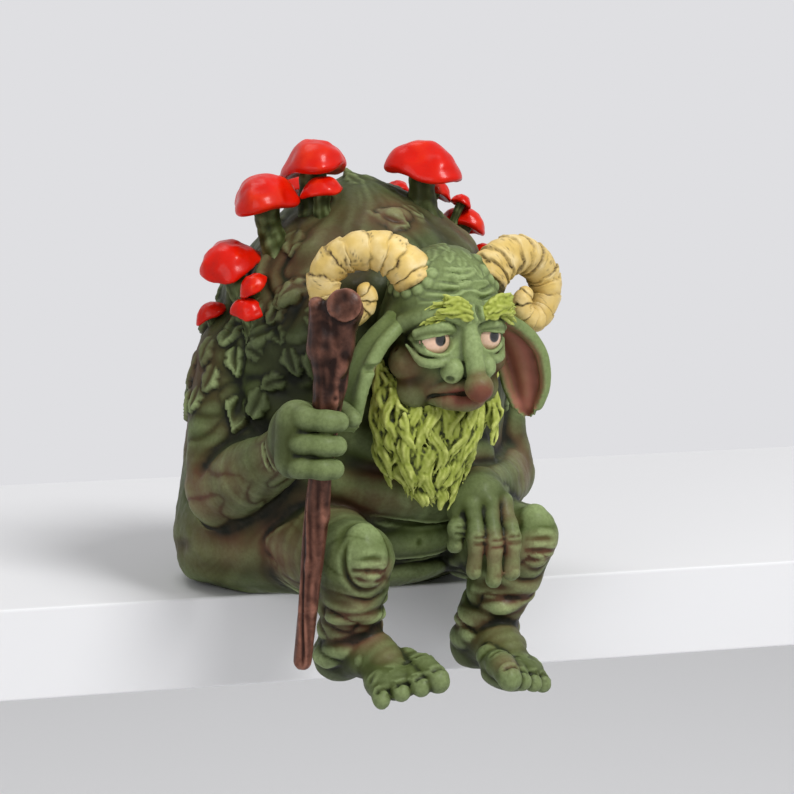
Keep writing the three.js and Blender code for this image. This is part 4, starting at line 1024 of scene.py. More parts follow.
def make_horns(sizes, material):
    """Ram's horns: growth plates that overlap like cups, with dark cracks"""
    outline = np.array(((-1.6, -2.6), (0, 0), (3.4, 2.6), (7.6, 3.3), (12, 2.1), (14.9, -0.8), (15.2, -4.6),
                        (13.4, -7.7), (10.4, -8.6), (7.9, -6.9), (7.5, -4.5), (9, -3)))
    for side, sweep, dip, spread in ((RIGHT, 24, 0, 8.4), (LEFT, 16, -10, 10.2)):
        back, turn = math.radians(sweep), math.radians(dip)
        out = np.array((side * math.cos(back), math.sin(back), 0))
        facing = np.array((side * math.sin(back), -math.cos(back), 0))
        root = mirrored((spread, -35.8, 65.9 if side == RIGHT else 64.9), side)
        share = np.linspace(0, 1, len(outline))
        a = outline[:, 0] * math.cos(turn) - outline[:, 1] * math.sin(turn)
        b = outline[:, 0] * math.sin(turn) + outline[:, 1] * math.cos(turn)
        points = root + a[:, None] * out + b[:, None] * (0, 0, 1) + (2.5 * share ** 2)[:, None] * facing
        rings, sides = 260, 44
        line = smooth_line(points, rings)
        t = np.linspace(0, 1, rings)
        rng = np.random.default_rng(91 + side)
        count = sizes.horn_ridges
        edges = np.append((np.arange(1, count) + rng.uniform(-0.28, 0.28, count - 1)) / count, (-0.02, 1.02))
        edges = np.sort(edges)
        plain = np.interp(t, (0, 0.12, 0.5, 0.9, 1), (4.1, 4.1, 3.2, 1.9, 1.2))
        plain = plain * np.sqrt(np.clip(1 - ((t - 0.955) / 0.045).clip(0) ** 2, 0, 1))
        skin, _ = tube(line, plain[:, None] * np.ones(sides), facing, sides)
        shifted = t[:, None] + 0.014 * noise(skin, 2.2, 98 + side) + 0.008 * noise(skin, 0.9, 99 + side)
        i = np.clip(np.searchsorted(edges, shifted) - 1, 0, len(edges) - 2)
        s = (shifted - edges[i]) / (edges[i + 1] - edges[i])
        cup = np.clip(1 - s, 0, 1) ** 0.6 * np.clip(s * 9, 0, 1)
        bump = noise(skin, 1.6, 95 + side) * 0.16 + noise(skin, 0.7, 97 + side) * 0.08
        bump = bump + noise(skin, 3.2, 90) * 0.15
        skin, _ = tube(line, plain[:, None] * (0.86 + 0.17 * cup) + bump * plain[:, None] / 4, facing, sides)
        faces, grid = tube_faces(rings, sides)
        # Brown in the hairline cracks; brown wash and painted shade in the seams between the plates and at
        # the root, where the horn meets the head
        streak = np.abs(noise(skin, 1.1, 93))
        cracks = np.clip(0.11 - streak, 0, 1) / 0.11 * np.clip(noise(skin, 2.4, 94) * 2 - 0.1, 0, 1)
        seam = np.clip(1 - np.minimum(s, (1 - s) * 2.2) / 0.16, 0, 1)
        seam = seam * np.clip(0.75 + noise(skin, 2.6, 92), 0, 1)
        wash_and_shade = np.clip(np.maximum(seam, cracks * 0.9), 0, 1)
        wash_and_shade = np.maximum(wash_and_shade, np.clip(1 - t / 0.03, 0, 1)[:, None] * 0.7)
        # Pale cream dry-brushed on each plate, also as painted highlight
        rub_and_highlight = np.clip(cup * (0.4 + 0.9 * noise(skin, 1.8, 96)), 0, 1)
        caps = [tuple(grid[0]), tuple(grid[-1][::-1])]
        put(SIDE_NAMES[side] + "_horn", skin.reshape(-1, 3), list(faces[:, ::-1]) + caps, material,
            {"wash_and_shade": wash_and_shade.ravel(), "rub_and_highlight": rub_and_highlight.ravel()})


def leaf_distance(line, widths, wide, look):
    """A cupped leaf that hangs along a line"""
    def distance(p):
        best = np.full(p.shape[:-1], FAR_AWAY)
        for a, b, wa, wb in zip(line, line[1:], widths, widths[1:]):
            along = b - a
            t = np.clip((p - a) @ along / (along @ along), 0, 1)
            q = p - a - t[..., None] * along
            width = wa + (wb - wa) * t
            aside, ahead = q @ wide, q @ look
            share = np.clip(np.abs(aside) / width, 0, 1.6)
            past = np.linalg.norm(q - aside[..., None] * wide - ahead[..., None] * look, axis=-1)
            thick = 0.55 + 0.55 * np.clip(share, 0, 1) ** 5
            flat = np.hypot(ahead - 2.1 * share ** 2 + 0.8, past) - thick
            best = np.minimum(best, np.maximum(flat, np.abs(aside) - width))
        return best

    return distance


def make_ears(sizes, material):
    """Long drooping ears: thin leaves with a rolled rim and a notch"""
    spines = {
        RIGHT: ((8, -34.6, 57.0), (11.4, -35.4, 55.6), (15.8, -34.6, 51.4), (19.0, -34.2, 44.6),
                (19.8, -33.8, 36.4)),
        LEFT: ((8.5, -35.0, 57.0), (12.0, -35.4, 55.0), (16.4, -34.6, 50.6), (19.0, -34.2, 44.0),
               (19.8, -33.8, 36.2)),
    }
    for side, facing in ((RIGHT, 74), (LEFT, 48)):
        line = smooth_line(mirrored(spines[side], side), 33)
        turn = math.radians(facing)
        wide = np.array((side * math.cos(turn), -math.sin(turn), 0))
        look = np.array((-side * math.sin(turn), -math.cos(turn), 0))
        widths = np.interp(np.linspace(0, 1, 33), (0, 0.15, 0.35, 0.6, 0.82, 0.94, 1),
                           (0.3, 1.7, 3.6, 4.7, 4.1, 2.5, 0.8))
        low, high = line.min(0) - 7, line.max(0) + 7
        clay = Clay(low, high, sizes.face_grit)
        clay.add((leaf_distance(line, widths, wide, look), low + 1, high - 1), 0.4)
        for edge, radii in ((1, (0.5, 1.2, 1.3, 1.2, 0.9)), (-1, (0.5, 1.1, 1.2, 1.1, 0.9))):
            rim = [line[i] + edge * wide * widths[i] * 0.95 + look * min(i / 6, 1) for i in range(0, 33, 3)]
            clay.add(limb(rim, radii), 0.5)
        swell = [line[i] - look * 0.2 for i in range(2, 31, 4)]
        clay.add(limb(swell, (1.6, 1.7, 1.7, 1.5, 1.0)), 2.0)
        clay.add(limb((line[0], line[4], line[8]), (2.8, 2.4, 1.2)), 1.0)
        notch = line[20] + wide * widths[20] * (1.08 if side == RIGHT else -1.08)
        clay.cut(limb((notch - look * 2, notch + look * 3.5), (0.8, 0.8)), 0.3)
        surface = clay.surface()
        surface.relax(7)
        surface.push(0.08 * noise(surface.p, 2, 101))
        paint_masks(surface, 6, 40, 3, 3)
        i = np.argmin(np.linalg.norm(surface.p[:, None] - line[None], axis=2), axis=1)
        aside = np.abs((surface.p - line[i]) @ wide) / widths[i]
        inside = np.clip((surface.normals() @ look) * 1.6 - 0.2, 0, 1) * np.clip((1.05 - aside) / 0.3, 0, 1)
        surface.masks["blush"] = np.clip(inside * np.clip((i - 4) / 5, 0, 1), 0, 1)
        # Lighter green and more dry-brushed paint on the outer face as painted highlight; the hollow is dusty
        # pink
        surface.masks["fresh_and_highlight"] = np.clip(1 - inside, 0, 1)
        surface.masks["rub_and_highlight"] = np.clip(surface.masks["rub_and_highlight"] + 0.4 * (1 - inside) * ramp(i, 3, 12), 0, 1)
        put_surface(SIDE_NAMES[side] + "_ear", surface, material)


def make_staff(sizes, material):
    """A knotty stick: a sawn knob, a stub of a branch and a long groove"""
    foot = GRIP - 43 * STAFF_AXIS
    side_way = unit(np.cross(STAFF_AXIS, (-0.5, -0.866, 0)))
    near_way = np.cross(side_way, STAFF_AXIS)

    def spot(rise, aside=0.0, near=0.0):
        return foot + STAFF_AXIS * rise + side_way * aside + near_way * near

    clay = Clay(spot(33) - (12, 12, 44), spot(33) + (12, 12, 44), sizes.hair_grit)
    shaft = (spot(1.6), spot(16), spot(26), spot(36.5), spot(50))
    clay.add(limb(shaft, (1.75, 1.95, 2.35, 2.3, 2.45), 24), 0.5)
    clay.add(limb((spot(50.4), spot(55, 0.1), spot(62, -0.4)), (2.9, 3.2, 3.7), 12), 0.8)
    clay.add(limb((spot(60, 0.2), spot(65, 0.7, 0.6), spot(67.6, 1.3, 1.4)), (3.6, 3.8, 3.5), 8), 1.0)
    clay.add(limb((spot(57, -0.6), spot(63, -2.2), spot(67.6, -3.6)), (2.8, 2.6, 1.7), 8), 1.0)
    clay.add(limb((spot(60, -1.2), spot(65.6, -1.6)), (3.2, 2.7)), 1.2)
    knob = spot(67.8, 1.4, 1.0)
    cut_way = unit(near_way + STAFF_AXIS * 0.35)
    sawn = (side_way, cut_way, np.cross(side_way, cut_way))
    clay.add(ball(knob + cut_way * 2.9, (3.2, 0.9, 3.2), sawn), 0.25)
    knots = ((29.5, 0.9, 0.9, 1.5), (51.5, 1.2, 1.7, 1.5), (57.5, 1.6, 2.2, 1.5), (20, -0.6, 1.0, 1.2),
             (12, 0.5, 0.9, 1.1))
    for rise, aside, near, size in knots:
        clay.add(ball(spot(rise, aside, near), (size, size, size * 1.4)), 0.8)
    clay.cut(ball(spot(51.5, 1.6, 3.5), 0.55), 0.4)
    surface = clay.surface()
    q = surface.p - foot
    rise = q @ STAFF_AXIS
    turn = np.arctan2(q @ near_way, q @ side_way)
    shaft_share = np.clip((62 - rise) / 6, 0, 1) * np.clip(rise / 3, 0, 1)
    twist = turn - 0.05 * rise + 0.35 * noise(q * (0.4, 0.4, 0.12), 1.0, 111)
    groove = -0.36 * np.exp(-(np.angle(np.exp(1j * (twist - 1.4))) / 0.22) ** 2)
    groove -= 0.26 * np.exp(-(np.angle(np.exp(1j * (twist + 1.9))) / 0.25) ** 2)
    grain = 0.04 * np.sin(twist * 7 + 2 * noise(q, 5, 112)) + 0.05 * noise(q * (1, 1, 0.2), 0.9, 113)
    lumpy = 0.25 * noise(q, 3.0, 114) * np.clip((rise - 48) / 4, 0, 1)
    surface.push(shaft_share * groove + grain + lumpy - 0.05)
    paint_masks(surface, 8, 60, 6, 7)
    surface.masks["fresh_and_highlight"] = np.clip((36 - rise) / 12, 0, 1)
    put_surface("staff", surface, material, "staff")


def node_points(name):
    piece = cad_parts[name]
    return np.array([piece.matrix_world @ v.co for v in piece.data.vertices]) / MM


# A cap from under its middle, round the brim, to its top: shares of its radius and of its height
CAP_PROFILE = (
    (0.02, 0.2), (0.35, 0.17), (0.7, 0.07), (0.93, 0.0), (1.03, 0.04), (1.06, 0.14), (1.01, 0.28),
    (0.94, 0.42), (0.84, 0.58), (0.7, 0.75), (0.51, 0.9), (0.27, 0.99), (0.02, 1.02),
)


def make_mushrooms(sizes, cap_material, stalk_material):
    """Glossy toadstools: each cap has its own lumps and an uneven brim"""
    for side in (RIGHT, LEFT):
        for number in range(1, 9):
            label = f"{SIDE_NAMES[side]}_%s_{number}"
            seed = 200 + 20 * side + number
            cap, stem = node_points(label % "cap"), node_points(label % "stalk")
            along = unit(cap.mean(0) - stem.mean(0))
            up = (cap - stem.mean(0)) @ along
            low, high = up.min(), up.max()
            axis_point = stem.mean(0)
            radius = np.max(np.linalg.norm(cap - axis_point - np.outer(up, along), axis=1))
            u = unit(np.cross(along, (0.2, 1, 0.1)))
            v = np.cross(along, u)
            profile = smooth_line([(r, h, 0) for r, h in CAP_PROFILE], 44)
            sides = 44
            turn = np.linspace(0, 2 * math.pi, sides, endpoint=False)
            rng = np.random.default_rng(seed)
            wobble = 1 + 0.09 * np.sin(2 * turn + rng.uniform(0, 6))
            wobble = wobble + 0.05 * np.sin(3 * turn + rng.uniform(0, 6))
            droop = 0.17 * np.sin(turn + rng.uniform(0, 6)) + 0.06 * np.sin(3 * turn + rng.uniform(0, 6))
            reach = profile[:, 0, None] * wobble[None] * radius * 0.99
            level = profile[:, 1, None] - droop[None] * profile[:, 0, None] ** 2
            height = low + level * (high - low) * 0.95
            skin = (axis_point + reach[..., None] * (u * np.cos(turn)[:, None] + v * np.sin(turn)[:, None])
                    + height[..., None] * along)
            lump = 0.4 * noise(skin, radius * 0.6, seed + 1) + 0.3 * noise(skin, radius * 0.28, seed + 2)
            lump = sizes.cap_lumps * lump
            out = skin - (axis_point + along * (low + 0.3 * (high - low)))
            out /= np.linalg.norm(out, axis=-1)[..., None]
            skin = skin + out * (lump * np.clip(profile[:, 0, None] * 3, 0, 1) * radius / 6)[..., None]
            faces, grid = tube_faces(len(profile), sides)
            caps = [tuple(grid[0][::-1]), tuple(grid[-1])]
            # Painted shade under the brim, darker in the dents, and painted highlight on the lumps
            under = np.clip(1 - np.arange(len(profile)) / 12, 0, 1)[:, None] * np.ones(sides)
            wash_and_shade = np.clip(under + 0.7 * np.clip(-lump, 0, 1), 0, 1)
            put(label % "cap", skin.reshape(-1, 3), list(faces) + caps, cap_material,
                {"wash_and_shade": wash_and_shade.ravel(), "rub_and_highlight": np.clip(lump * 1.5, 0, 1).ravel()})
            climb = (stem - axis_point) @ along
            spread = np.max(np.linalg.norm(stem - axis_point - np.outer(climb, along), axis=1))
            top = low + 0.2 * (high - low)
            bottom = climb.min() - 0.4
            rows, sides = 26, 24
            t = np.linspace(0, 1, rows)
            line = axis_point + np.outer(bottom + (top - bottom) * t, along)
            line += np.outer(np.sin(t * math.pi) * 0.06 * (top - bottom), u)
            girth = spread * np.interp(t, (0, 0.25, 0.6, 1), (1.25, 1.0, 0.82, 0.9))
            radii = girth[:, None] * np.ones(sides)
            stem_skin, turns = tube(line, radii, u, sides)
            ribs = 0.05 * np.sin(turns * 7 + 2 * t[:, None]) + 0.16 * noise(stem_skin, 1.2, seed + 5)
            stem_skin, _ = tube(line, radii + ribs * spread * 0.6, u, sides)
            faces, grid = tube_faces(rows, sides)
            caps = [tuple(grid[0][::-1]), tuple(grid[-1])]
            # Wash and painted shade between the ribs, dry-brushed paint and painted highlight on them
            put(label % "stalk", stem_skin.reshape(-1, 3), list(faces) + caps, stalk_material,
                {"wash_and_shade": np.clip(-ribs * 4, 0, 1).ravel(), "rub_and_highlight": np.clip(ribs * 4, 0, 1).ravel()})


# Paint

def add_node(tree, kind, inputs=None, **settings):
    """A node with its settings, and a value or a link for each named input"""
    node = tree.nodes.new(kind)
    for key, value in settings.items():
        setattr(node, key, value)
    for key, value in (inputs or {}).items():
        socket = node.inputs[key]
        if isinstance(value, bpy.types.NodeSocket):
            tree.links.new(value, socket)
        else:
            socket.default_value = value
    return node


def rgba(colour):
    return (*colour[:3], 1.0)


def blank_material(name):
    """An empty node material, and the place on the object that its patterns follow"""
    material = bpy.data.materials.new(name)
    material.use_nodes = True
    tree = material.node_tree
    tree.nodes.clear()
    return material, tree, add_node(tree, "ShaderNodeTexCoord").outputs["Object"]


def acrylic(name, base, coats, rough, shine, gloss, grain):
    """Brushed acrylic on cast resin, made once for each name. Each coat is a mask, a colour, a
    strength, the size of its brush marks in millimetres and what it leaves between them. Real brush
    grain of about 0.1 mm is drawn coarser, so that it shows."""
    if name in bpy.data.materials:
        return bpy.data.materials[name]
    material, tree, where = blank_material(name)

    def marks(size, low, high, least, most, detail=3.0):
        pattern = add_node(tree, "ShaderNodeTexNoise", {
            "Vector": where, "Scale": 1 / (size * MM), "Detail": detail, "Roughness": 0.6}).outputs[0]
        limits = {0: pattern, 1: low, 2: high, 3: least, 4: most}
        return add_node(tree, "ShaderNodeMapRange", limits).outputs[0]

    deeper = rgba([c * 0.78 for c in base[:3]])
    blend = {0: marks(11.0, 0.3, 0.7, 0.0, 1.0), 6: deeper, 7: rgba(base)}
    colour = add_node(tree, "ShaderNodeMix", blend, data_type="RGBA").outputs[2]
    for mask, paint, strength, size, least in coats:
        share = add_node(tree, "ShaderNodeAttribute", attribute_name=mask).outputs["Fac"]
        broken = marks(size, 0.3, 0.62, least * strength, strength)
        cover = add_node(tree, "ShaderNodeMath", {0: share, 1: broken},
                         operation="MULTIPLY", use_clamp=True).outputs[0]
        blend = {0: cover, 6: colour, 7: rgba(paint)}
        colour = add_node(tree, "ShaderNodeMix", blend, data_type="RGBA").outputs[2]
    sheen = marks(1.6, 0.3, 0.7, rough - 0.07, rough + 0.09)
    relief = add_node(tree, "ShaderNodeBump", {
        "Height": marks(grain, 0.0, 1.0, 0.0, 1.0, 4.0), "Strength": 0.35, "Distance": 0.12 * MM}).outputs[0]
    shader = add_node(tree, "ShaderNodeBsdfPrincipled", {
        "Base Color": colour, "Roughness": sheen, "Normal": relief, "Specular IOR Level": shine,
        "Coat Weight": gloss, "Coat Roughness": 0.18}).outputs[0]
    add_node(tree, "ShaderNodeOutputMaterial", {"Surface": shader})
    return material


def skin_paint(paints):
    # Matte acrylic on resin: a near-black green wash in the folds, also painted shade there and on the
    # undersides, pale green dry-brushed on what stands high, also painted highlight there and on what faces
    # up, dark moss green on the leaves and as painted shade on the back, lighter green as painted highlight
    # on the hands, feet and face, and brown airbrushed in patches
    coats = (
        ("deep", paints.moss_and_shade, 0.95, 9.0, 0.85), ("fresh_and_highlight", paints.skin_light, 0.8, 9.0, 0.85),
        ("warm", paints.brown, 1.1, 8.0, 0.7), ("red", paints.nose, 1.1, 4.0, 0.85),
        ("blush", paints.ear, 1.0, 4.0, 0.8), ("wash_and_shade", paints.skin_shade, 1.0, 3.0, 0.8),
        ("rub_and_highlight", paints.skin_rub_and_highlight, 0.6, 0.7, 0.65),
    )
    return acrylic("resin_green_acrylic", paints.skin, coats, 0.52, 0.13, 0.03, 0.5)


def beard_paint(paints):
    # Matte acrylic on resin locks: olive wash and painted shade in the partings, lemon dry-brushed with
    # painted highlight on the strands, and a lighter top as painted highlight
    coats = (
        ("fresh_and_highlight", paints.beard_light, 0.5, 3.0, 0.5), ("wash_and_shade", paints.beard_shade, 1.0, 1.2, 0.5),
        ("rub_and_highlight", paints.beard_rub_and_highlight, 0.9, 0.9, 0.4),
    )
    return acrylic("resin_lemon_acrylic", paints.beard, coats, 0.6, 0.2, 0.0, 0.45)


def horn_paint(paints):
    # Cream acrylic with brown wash run into the growth ridges and hairline cracks, painted shade in the
    # seams and at the root, and pale cream dry-brushed with painted highlight on the plates
    coats = (("rub_and_highlight", paints.horn_light, 0.6, 1.4, 0.35), ("wash_and_shade", paints.horn_shade, 1.25, 0.9, 0.4))
    return acrylic("resin_horn_acrylic", paints.horn, coats, 0.48, 0.22, 0.03, 0.4)


def staff_paint(paints):
    # Satin wood-brown acrylic, redder towards the foot, dark wash and painted shade in the grooves, and
    # worn edges dry-brushed paler, also as painted highlight on what stands high
    coats = (
        ("fresh_and_highlight", paints.staff_red, 0.8, 3.0, 0.5), ("wash_and_shade", paints.staff_shade, 1.0, 2.0, 0.6),
        ("rub_and_highlight", paints.staff_rub_and_highlight, 0.8, 1.4, 0.4),
    )
    return acrylic("resin_wood_acrylic", paints.staff, coats, 0.32, 0.12, 0.05, 0.5)


def cap_paint(paints):
    # Glossy scarlet lacquer that pools darker in the dents, also as painted shade, with painted shade under
    # the brim and orange-red painted highlight on the lumps
    coats = (("wash_and_shade", paints.cap_shade, 0.85, 2.0, 0.5), ("rub_and_highlight", paints.cap_light, 0.6, 1.5, 0.4))
    return acrylic("resin_scarlet_lacquer", paints.cap, coats, 0.34, 0.1, 0.22, 0.8)


def eye_paint(paints):
    # Clear varnish over peach whites, a dark iris and a black pupil
    material, tree, where = blank_material("resin_eye_varnish")
    turn = add_node(tree, "ShaderNodeAttribute", attribute_name="turn").outputs["Fac"]
    mottle = add_node(tree, "ShaderNodeTexNoise", {
        "Vector": where, "Scale": 1 / (0.6 * MM), "Detail": 3.0}).outputs[0]
    blend = {0: mottle, 6: rgba(paints.eye), 7: rgba(paints.eye_shade)}
    colour = add_node(tree, "ShaderNodeMix", blend, data_type="RGBA").outputs[2]
    for reach, paint in ((0.33, paints.iris), (0.24, paints.pupil)):
        limits = {"Value": turn, 1: reach + 0.04, 2: reach - 0.04}
        blend = {0: add_node(tree, "ShaderNodeMapRange", limits).outputs[0], 6: colour, 7: rgba(paint)}
        colour = add_node(tree, "ShaderNodeMix", blend, data_type="RGBA").outputs[2]
    shader = add_node(tree, "ShaderNodeBsdfPrincipled", {
        "Base Color": colour, "Roughness": 0.22, "Coat Weight": 0.6, "Coat Roughness": 0.06}).outputs[0]
    add_node(tree, "ShaderNodeOutputMaterial", {"Surface": shader})
    return material


def floor_paint(paints):
    # White lacquer: almost smooth, with a faint orange peel
    material, tree, where = blank_material("lacquer_white")
    peel = add_node(tree, "ShaderNodeTexNoise", {"Vector": where, "Scale": 1 / (1.5 * MM)}).outputs[0]
    relief = add_node(tree, "ShaderNodeBump", {
        "Height": peel, "Strength": 0.05, "Distance": 0.05 * MM}).outputs[0]
    shader = add_node(tree, "ShaderNodeBsdfPrincipled", {
        "Base Color": rgba(paints.floor), "Roughness": 0.7, "Specular IOR Level": 0.15,
        "Normal": relief}).outputs[0]
    add_node(tree, "ShaderNodeOutputMaterial", {"Surface": shader})
    return material


# Stage: the floor has a step, because the feet hang below the seat. Lengths are in millimetres, and
# lamps are in metres and watts.
STEP_ALONG = np.array((0.971, -0.238))
STEP_INWARD = np.array((0.238, 0.971))
STEP_FRONT = np.array((0, -9.3))
STEP_HALF_LENGTH = 500
STEP_DEPTH = 135
STEP_TOP, STEP_BOTTOM = -0.03, -18
FLOOR_HALF = 850
FLOOR_TOP, FLOOR_BOTTOM = -160, -170
ROOM_LIGHT = 0.3
LAMPS = (
    ("window", (0.2, -0.85, 0.95), (0, -0.02, 0.035), 0.45, 12.0),
    ("fill", (-0.9, -0.6, 0.35), (0, -0.02, 0.035), 0.7, 2.6),
    ("above", (-0.1, 0.3, 0.95), (0, 0, 0.04), 0.6, 2.2),
)
CAMERA_AIM = np.array((7.73, -4.46, 36.7))
CAMERA_BACK = (-0.495, -0.857, 0.144)
CAMERA_DISTANCE = 535.7
CAMERA_LENS = 122.4
CAMERA_SENSOR = 36


def slab(name, corners, top, bottom, material):
    """A flat slab over four corners, in millimetres"""
    points = [(x, y, top) for x, y in corners] + [(x, y, bottom) for x, y in corners]
    faces = [(0, 1, 2, 3), (7, 6, 5, 4)] + [(i, i + 4, (i + 1) % 4 + 4, (i + 1) % 4) for i in range(4)]
    mesh = bpy.data.meshes.new(name)
    mesh.from_pydata((np.array(points) * MM).tolist(), [], faces)
    mesh.materials.append(material)
    flat = bpy.data.objects.new(name, mesh)
    bpy.context.scene.collection.objects.link(flat)
    edge = flat.modifiers.new("softened", "BEVEL")
    edge.width = 0.5 * MM
    edge.segments = 3


def lamp(name, spot, aim, size, power):
    light = bpy.data.lights.new(name, "AREA")
    light.shape = "DISK"
    light.size = size
    light.energy = power
    holder = bpy.data.objects.new(name, light)
    holder.location = spot
    holder.rotation_euler = (Vector(aim) - Vector(spot)).to_track_quat("-Z", "Y").to_euler()
    bpy.context.scene.collection.objects.link(holder)


def make_stage(paints):
    scene = bpy.context.scene
    white = floor_paint(paints)
    ends = [STEP_FRONT - STEP_HALF_LENGTH * STEP_ALONG, STEP_FRONT + STEP_HALF_LENGTH * STEP_ALONG]
    corners = ends + [end + STEP_DEPTH * STEP_INWARD for end in reversed(ends)]
    slab("floor_step", corners, STEP_TOP, STEP_BOTTOM, white)
    square = [(FLOOR_HALF * x, FLOOR_HALF * y) for x, y in ((-1, -1), (1, -1), (1, 1), (-1, 1))]
    slab("floor", square, FLOOR_TOP, FLOOR_BOTTOM, white)

    world = bpy.data.worlds.new("soft_room")
    scene.world = world
    world.use_nodes = True
    tree = world.node_tree
    tree.nodes.clear()
    path = add_node(tree, "ShaderNodeLightPath").outputs
    seen = path["Is Camera Ray"]
    for ray in ("Is Glossy Ray", "Is Transmission Ray"):
        seen = add_node(tree, "ShaderNodeMath", {0: seen, 1: path[ray]}, operation="MAXIMUM").outputs[0]
    white_light = {"Color": (1, 1, 1, 1), "Strength": ROOM_LIGHT}
    light = add_node(tree, "ShaderNodeBackground", white_light).outputs[0]
    pale_wall = {"Color": rgba(paints.backdrop), "Strength": 1.0}
    view = add_node(tree, "ShaderNodeBackground", pale_wall).outputs[0]
    mixed = add_node(tree, "ShaderNodeMixShader", {0: seen, 1: light, 2: view}).outputs[0]
    add_node(tree, "ShaderNodeOutputWorld", {"Surface": mixed})
    for settings in LAMPS:
        lamp(*settings)

    camera = bpy.data.cameras.new("camera")
    camera.lens = CAMERA_LENS
    camera.sensor_width = CAMERA_SENSOR
    camera.dof.use_dof = False
    holder = bpy.data.objects.new("camera", camera)
    back = unit(CAMERA_BACK)
    right = unit(np.cross((0, 0, 1), back))
    spot = (CAMERA_AIM + back * CAMERA_DISTANCE) * MM
    turn = Matrix((right, np.cross(back, right), back)).transposed()
    holder.matrix_world = Matrix.Translation(spot) @ turn.to_4x4()
    scene.collection.objects.link(holder)
    scene.camera = holder
    scene.view_settings.view_transform = "Standard"


# Add-on

def size_property(name, description, default):
    """A length, given here in millimetres and held in metres"""
    return bpy.props.FloatProperty(name=name, description=description, default=default * MM, min=0.05 * MM,
                                   max=20 * MM, precision=5, subtype="DISTANCE", unit="LENGTH")


def paint_property(name, description, code):
    return bpy.props.FloatVectorProperty(name=name, description=description, default=linear(code),
                                         min=0, max=1, size=3, subtype="COLOR")


class TrollSizes(bpy.types.PropertyGroup):
    body_grit: size_property("Body grit", "Grain of the body's clay", 0.46)
    face_grit: size_property("Face grit", "Grain of the head's and ears' clay", 0.27)
    hair_grit: size_property("Hair grit", "Grain of the beard's and staff's clay", 0.27)
    roll_depth: size_property("Roll depth", "How far the rolls of the back stand out", 1.6)
    lobe_depth: size_property("Lobe depth", "How far the hanging lobes of the hump stand out", 0.8)
    crease_depth: size_property("Crease depth", "Depth of the drawn folds", 0.75)
    leaf_length: size_property("Leaf length", "Length of the mossy leaves", 5.6)
    leaf_height: size_property("Leaf height", "Thickness of the mossy leaves", 1.0)
    strand_width: size_property("Strand width", "Half width of a lock of the beard", 0.95)
    cap_lumps: size_property("Cap lumps", "Height of the lumps on the toadstools", 0.9)
    horn_ridges: bpy.props.IntProperty(name="Horn ridges", description="Growth ridges on a horn",
                                       default=15, min=3, max=40)


class TrollPaints(bpy.types.PropertyGroup):
    skin: paint_property("Skin", "Main green of the skin", "3f4621")
    # Lighter green of patches that are painted highlight on the hands, knees, feet, belly, face and ears
    skin_light: paint_property("Skin light", "Fresh green of the lighter patches of skin", "586833")
    # Dry-brushed pale green, also painted highlight on what stands high and what faces up
    skin_rub_and_highlight: paint_property("Skin rub", "Pale green dry-brushed on edges", "b4c88c")
    skin_shade: paint_property("Skin shade", "Wash in the folds", "0d1005")
    # Dark green of the leaves, also painted shade on the back and the top of the torso
    moss_and_shade: paint_property("Moss", "Dark green of the leaves and the hump", "272b14")
    brown: paint_property("Brown", "Airbrushed brown patches", "5c3c2b")
    nose: paint_property("Nose", "Red of the nose and lips", "6e352d")
    ear: paint_property("Ear", "Dusty pink of the ear hollows", "a46656")
    beard: paint_property("Beard", "Main yellow-green of the beard", "8a963a")
    # Painted highlight towards the top of the beard
    beard_light: paint_property("Beard light", "Brighter top of the beard", "b0ba50")
    # Dry-brushed lemon, also painted highlight on the strands
    beard_rub_and_highlight: paint_property("Beard rub", "Lemon on the strands", "e2e88c")
    beard_shade: paint_property("Beard shade", "Olive between the strands", "161a06")
    horn: paint_property("Horn", "Cream of the horns", "e4c473")
    # Dry-brushed cream, also painted highlight on the plates
    horn_light: paint_property("Horn light", "Pale cream on the ridges", "fbeabc")
    horn_shade: paint_property("Horn shade", "Brown in the cracks", "33220d")
    eye: paint_property("Eye", "Peach whites of the eyes", "f3d3bb")
    eye_shade: paint_property("Eye shade", "Warmer peach in the whites", "dfae8c")
    iris: paint_property("Iris", "Ring round the pupil", "2a2a2c")
    pupil: paint_property("Pupil", "Pupil", "080808")
    cap: paint_property("Cap", "Scarlet of the toadstools", "dc1602")
    # Dry-brushed orange-red, also painted highlight on the lumps
    cap_light: paint_property("Cap light", "Orange-red on the lumps", "f04a20")
    cap_shade: paint_property("Cap shade", "Deep red under the brim", "7e1205")
    staff: paint_property("Staff", "Brown of the staff", "26130c")
    staff_red: paint_property("Staff red", "Red-brown near the foot", "381b12")
    # Worn edges, also painted highlight on what stands high
    staff_rub_and_highlight: paint_property("Staff rub", "Worn edges of the staff", "9c6a58")
    staff_shade: paint_property("Staff shade", "Dark in the staff's grooves", "0f0604")
    floor: paint_property("Floor", "White of the floor and of its step", "e6e6e8")
    backdrop: paint_property("Backdrop", "Pale wall behind", "dfdfe2")


def in_mm(sizes):
    """The sizes in millimetres, as the 32-bit values that a property can hold"""
    values = {key: getattr(sizes, key) for key in TrollSizes.__annotations__}
    ridges = values.pop("horn_ridges")
    lengths = {key: float(np.float32(round(value / MM, 4))) for key, value in values.items()}
    return SimpleNamespace(horn_ridges=ridges, **lengths)


class TROLL_OT_body(bpy.types.Operator):
    """Sculpt and paint the torso, arms, hands, legs and feet"""
    bl_idname = "troll.body"
    bl_label = "Body"
    bl_options = {"REGISTER", "UNDO"}

    def execute(self, context):
        make_body(in_mm(context.scene.troll_sizes), skin_paint(context.scene.troll_paints))
        return {"FINISHED"}


class TROLL_OT_head(bpy.types.Operator):
    """Sculpt and paint the head"""
    bl_idname = "troll.head"
    bl_label = "Head"
    bl_options = {"REGISTER", "UNDO"}

    def execute(self, context):
        make_head(in_mm(context.scene.troll_sizes), skin_paint(context.scene.troll_paints))
        return {"FINISHED"}


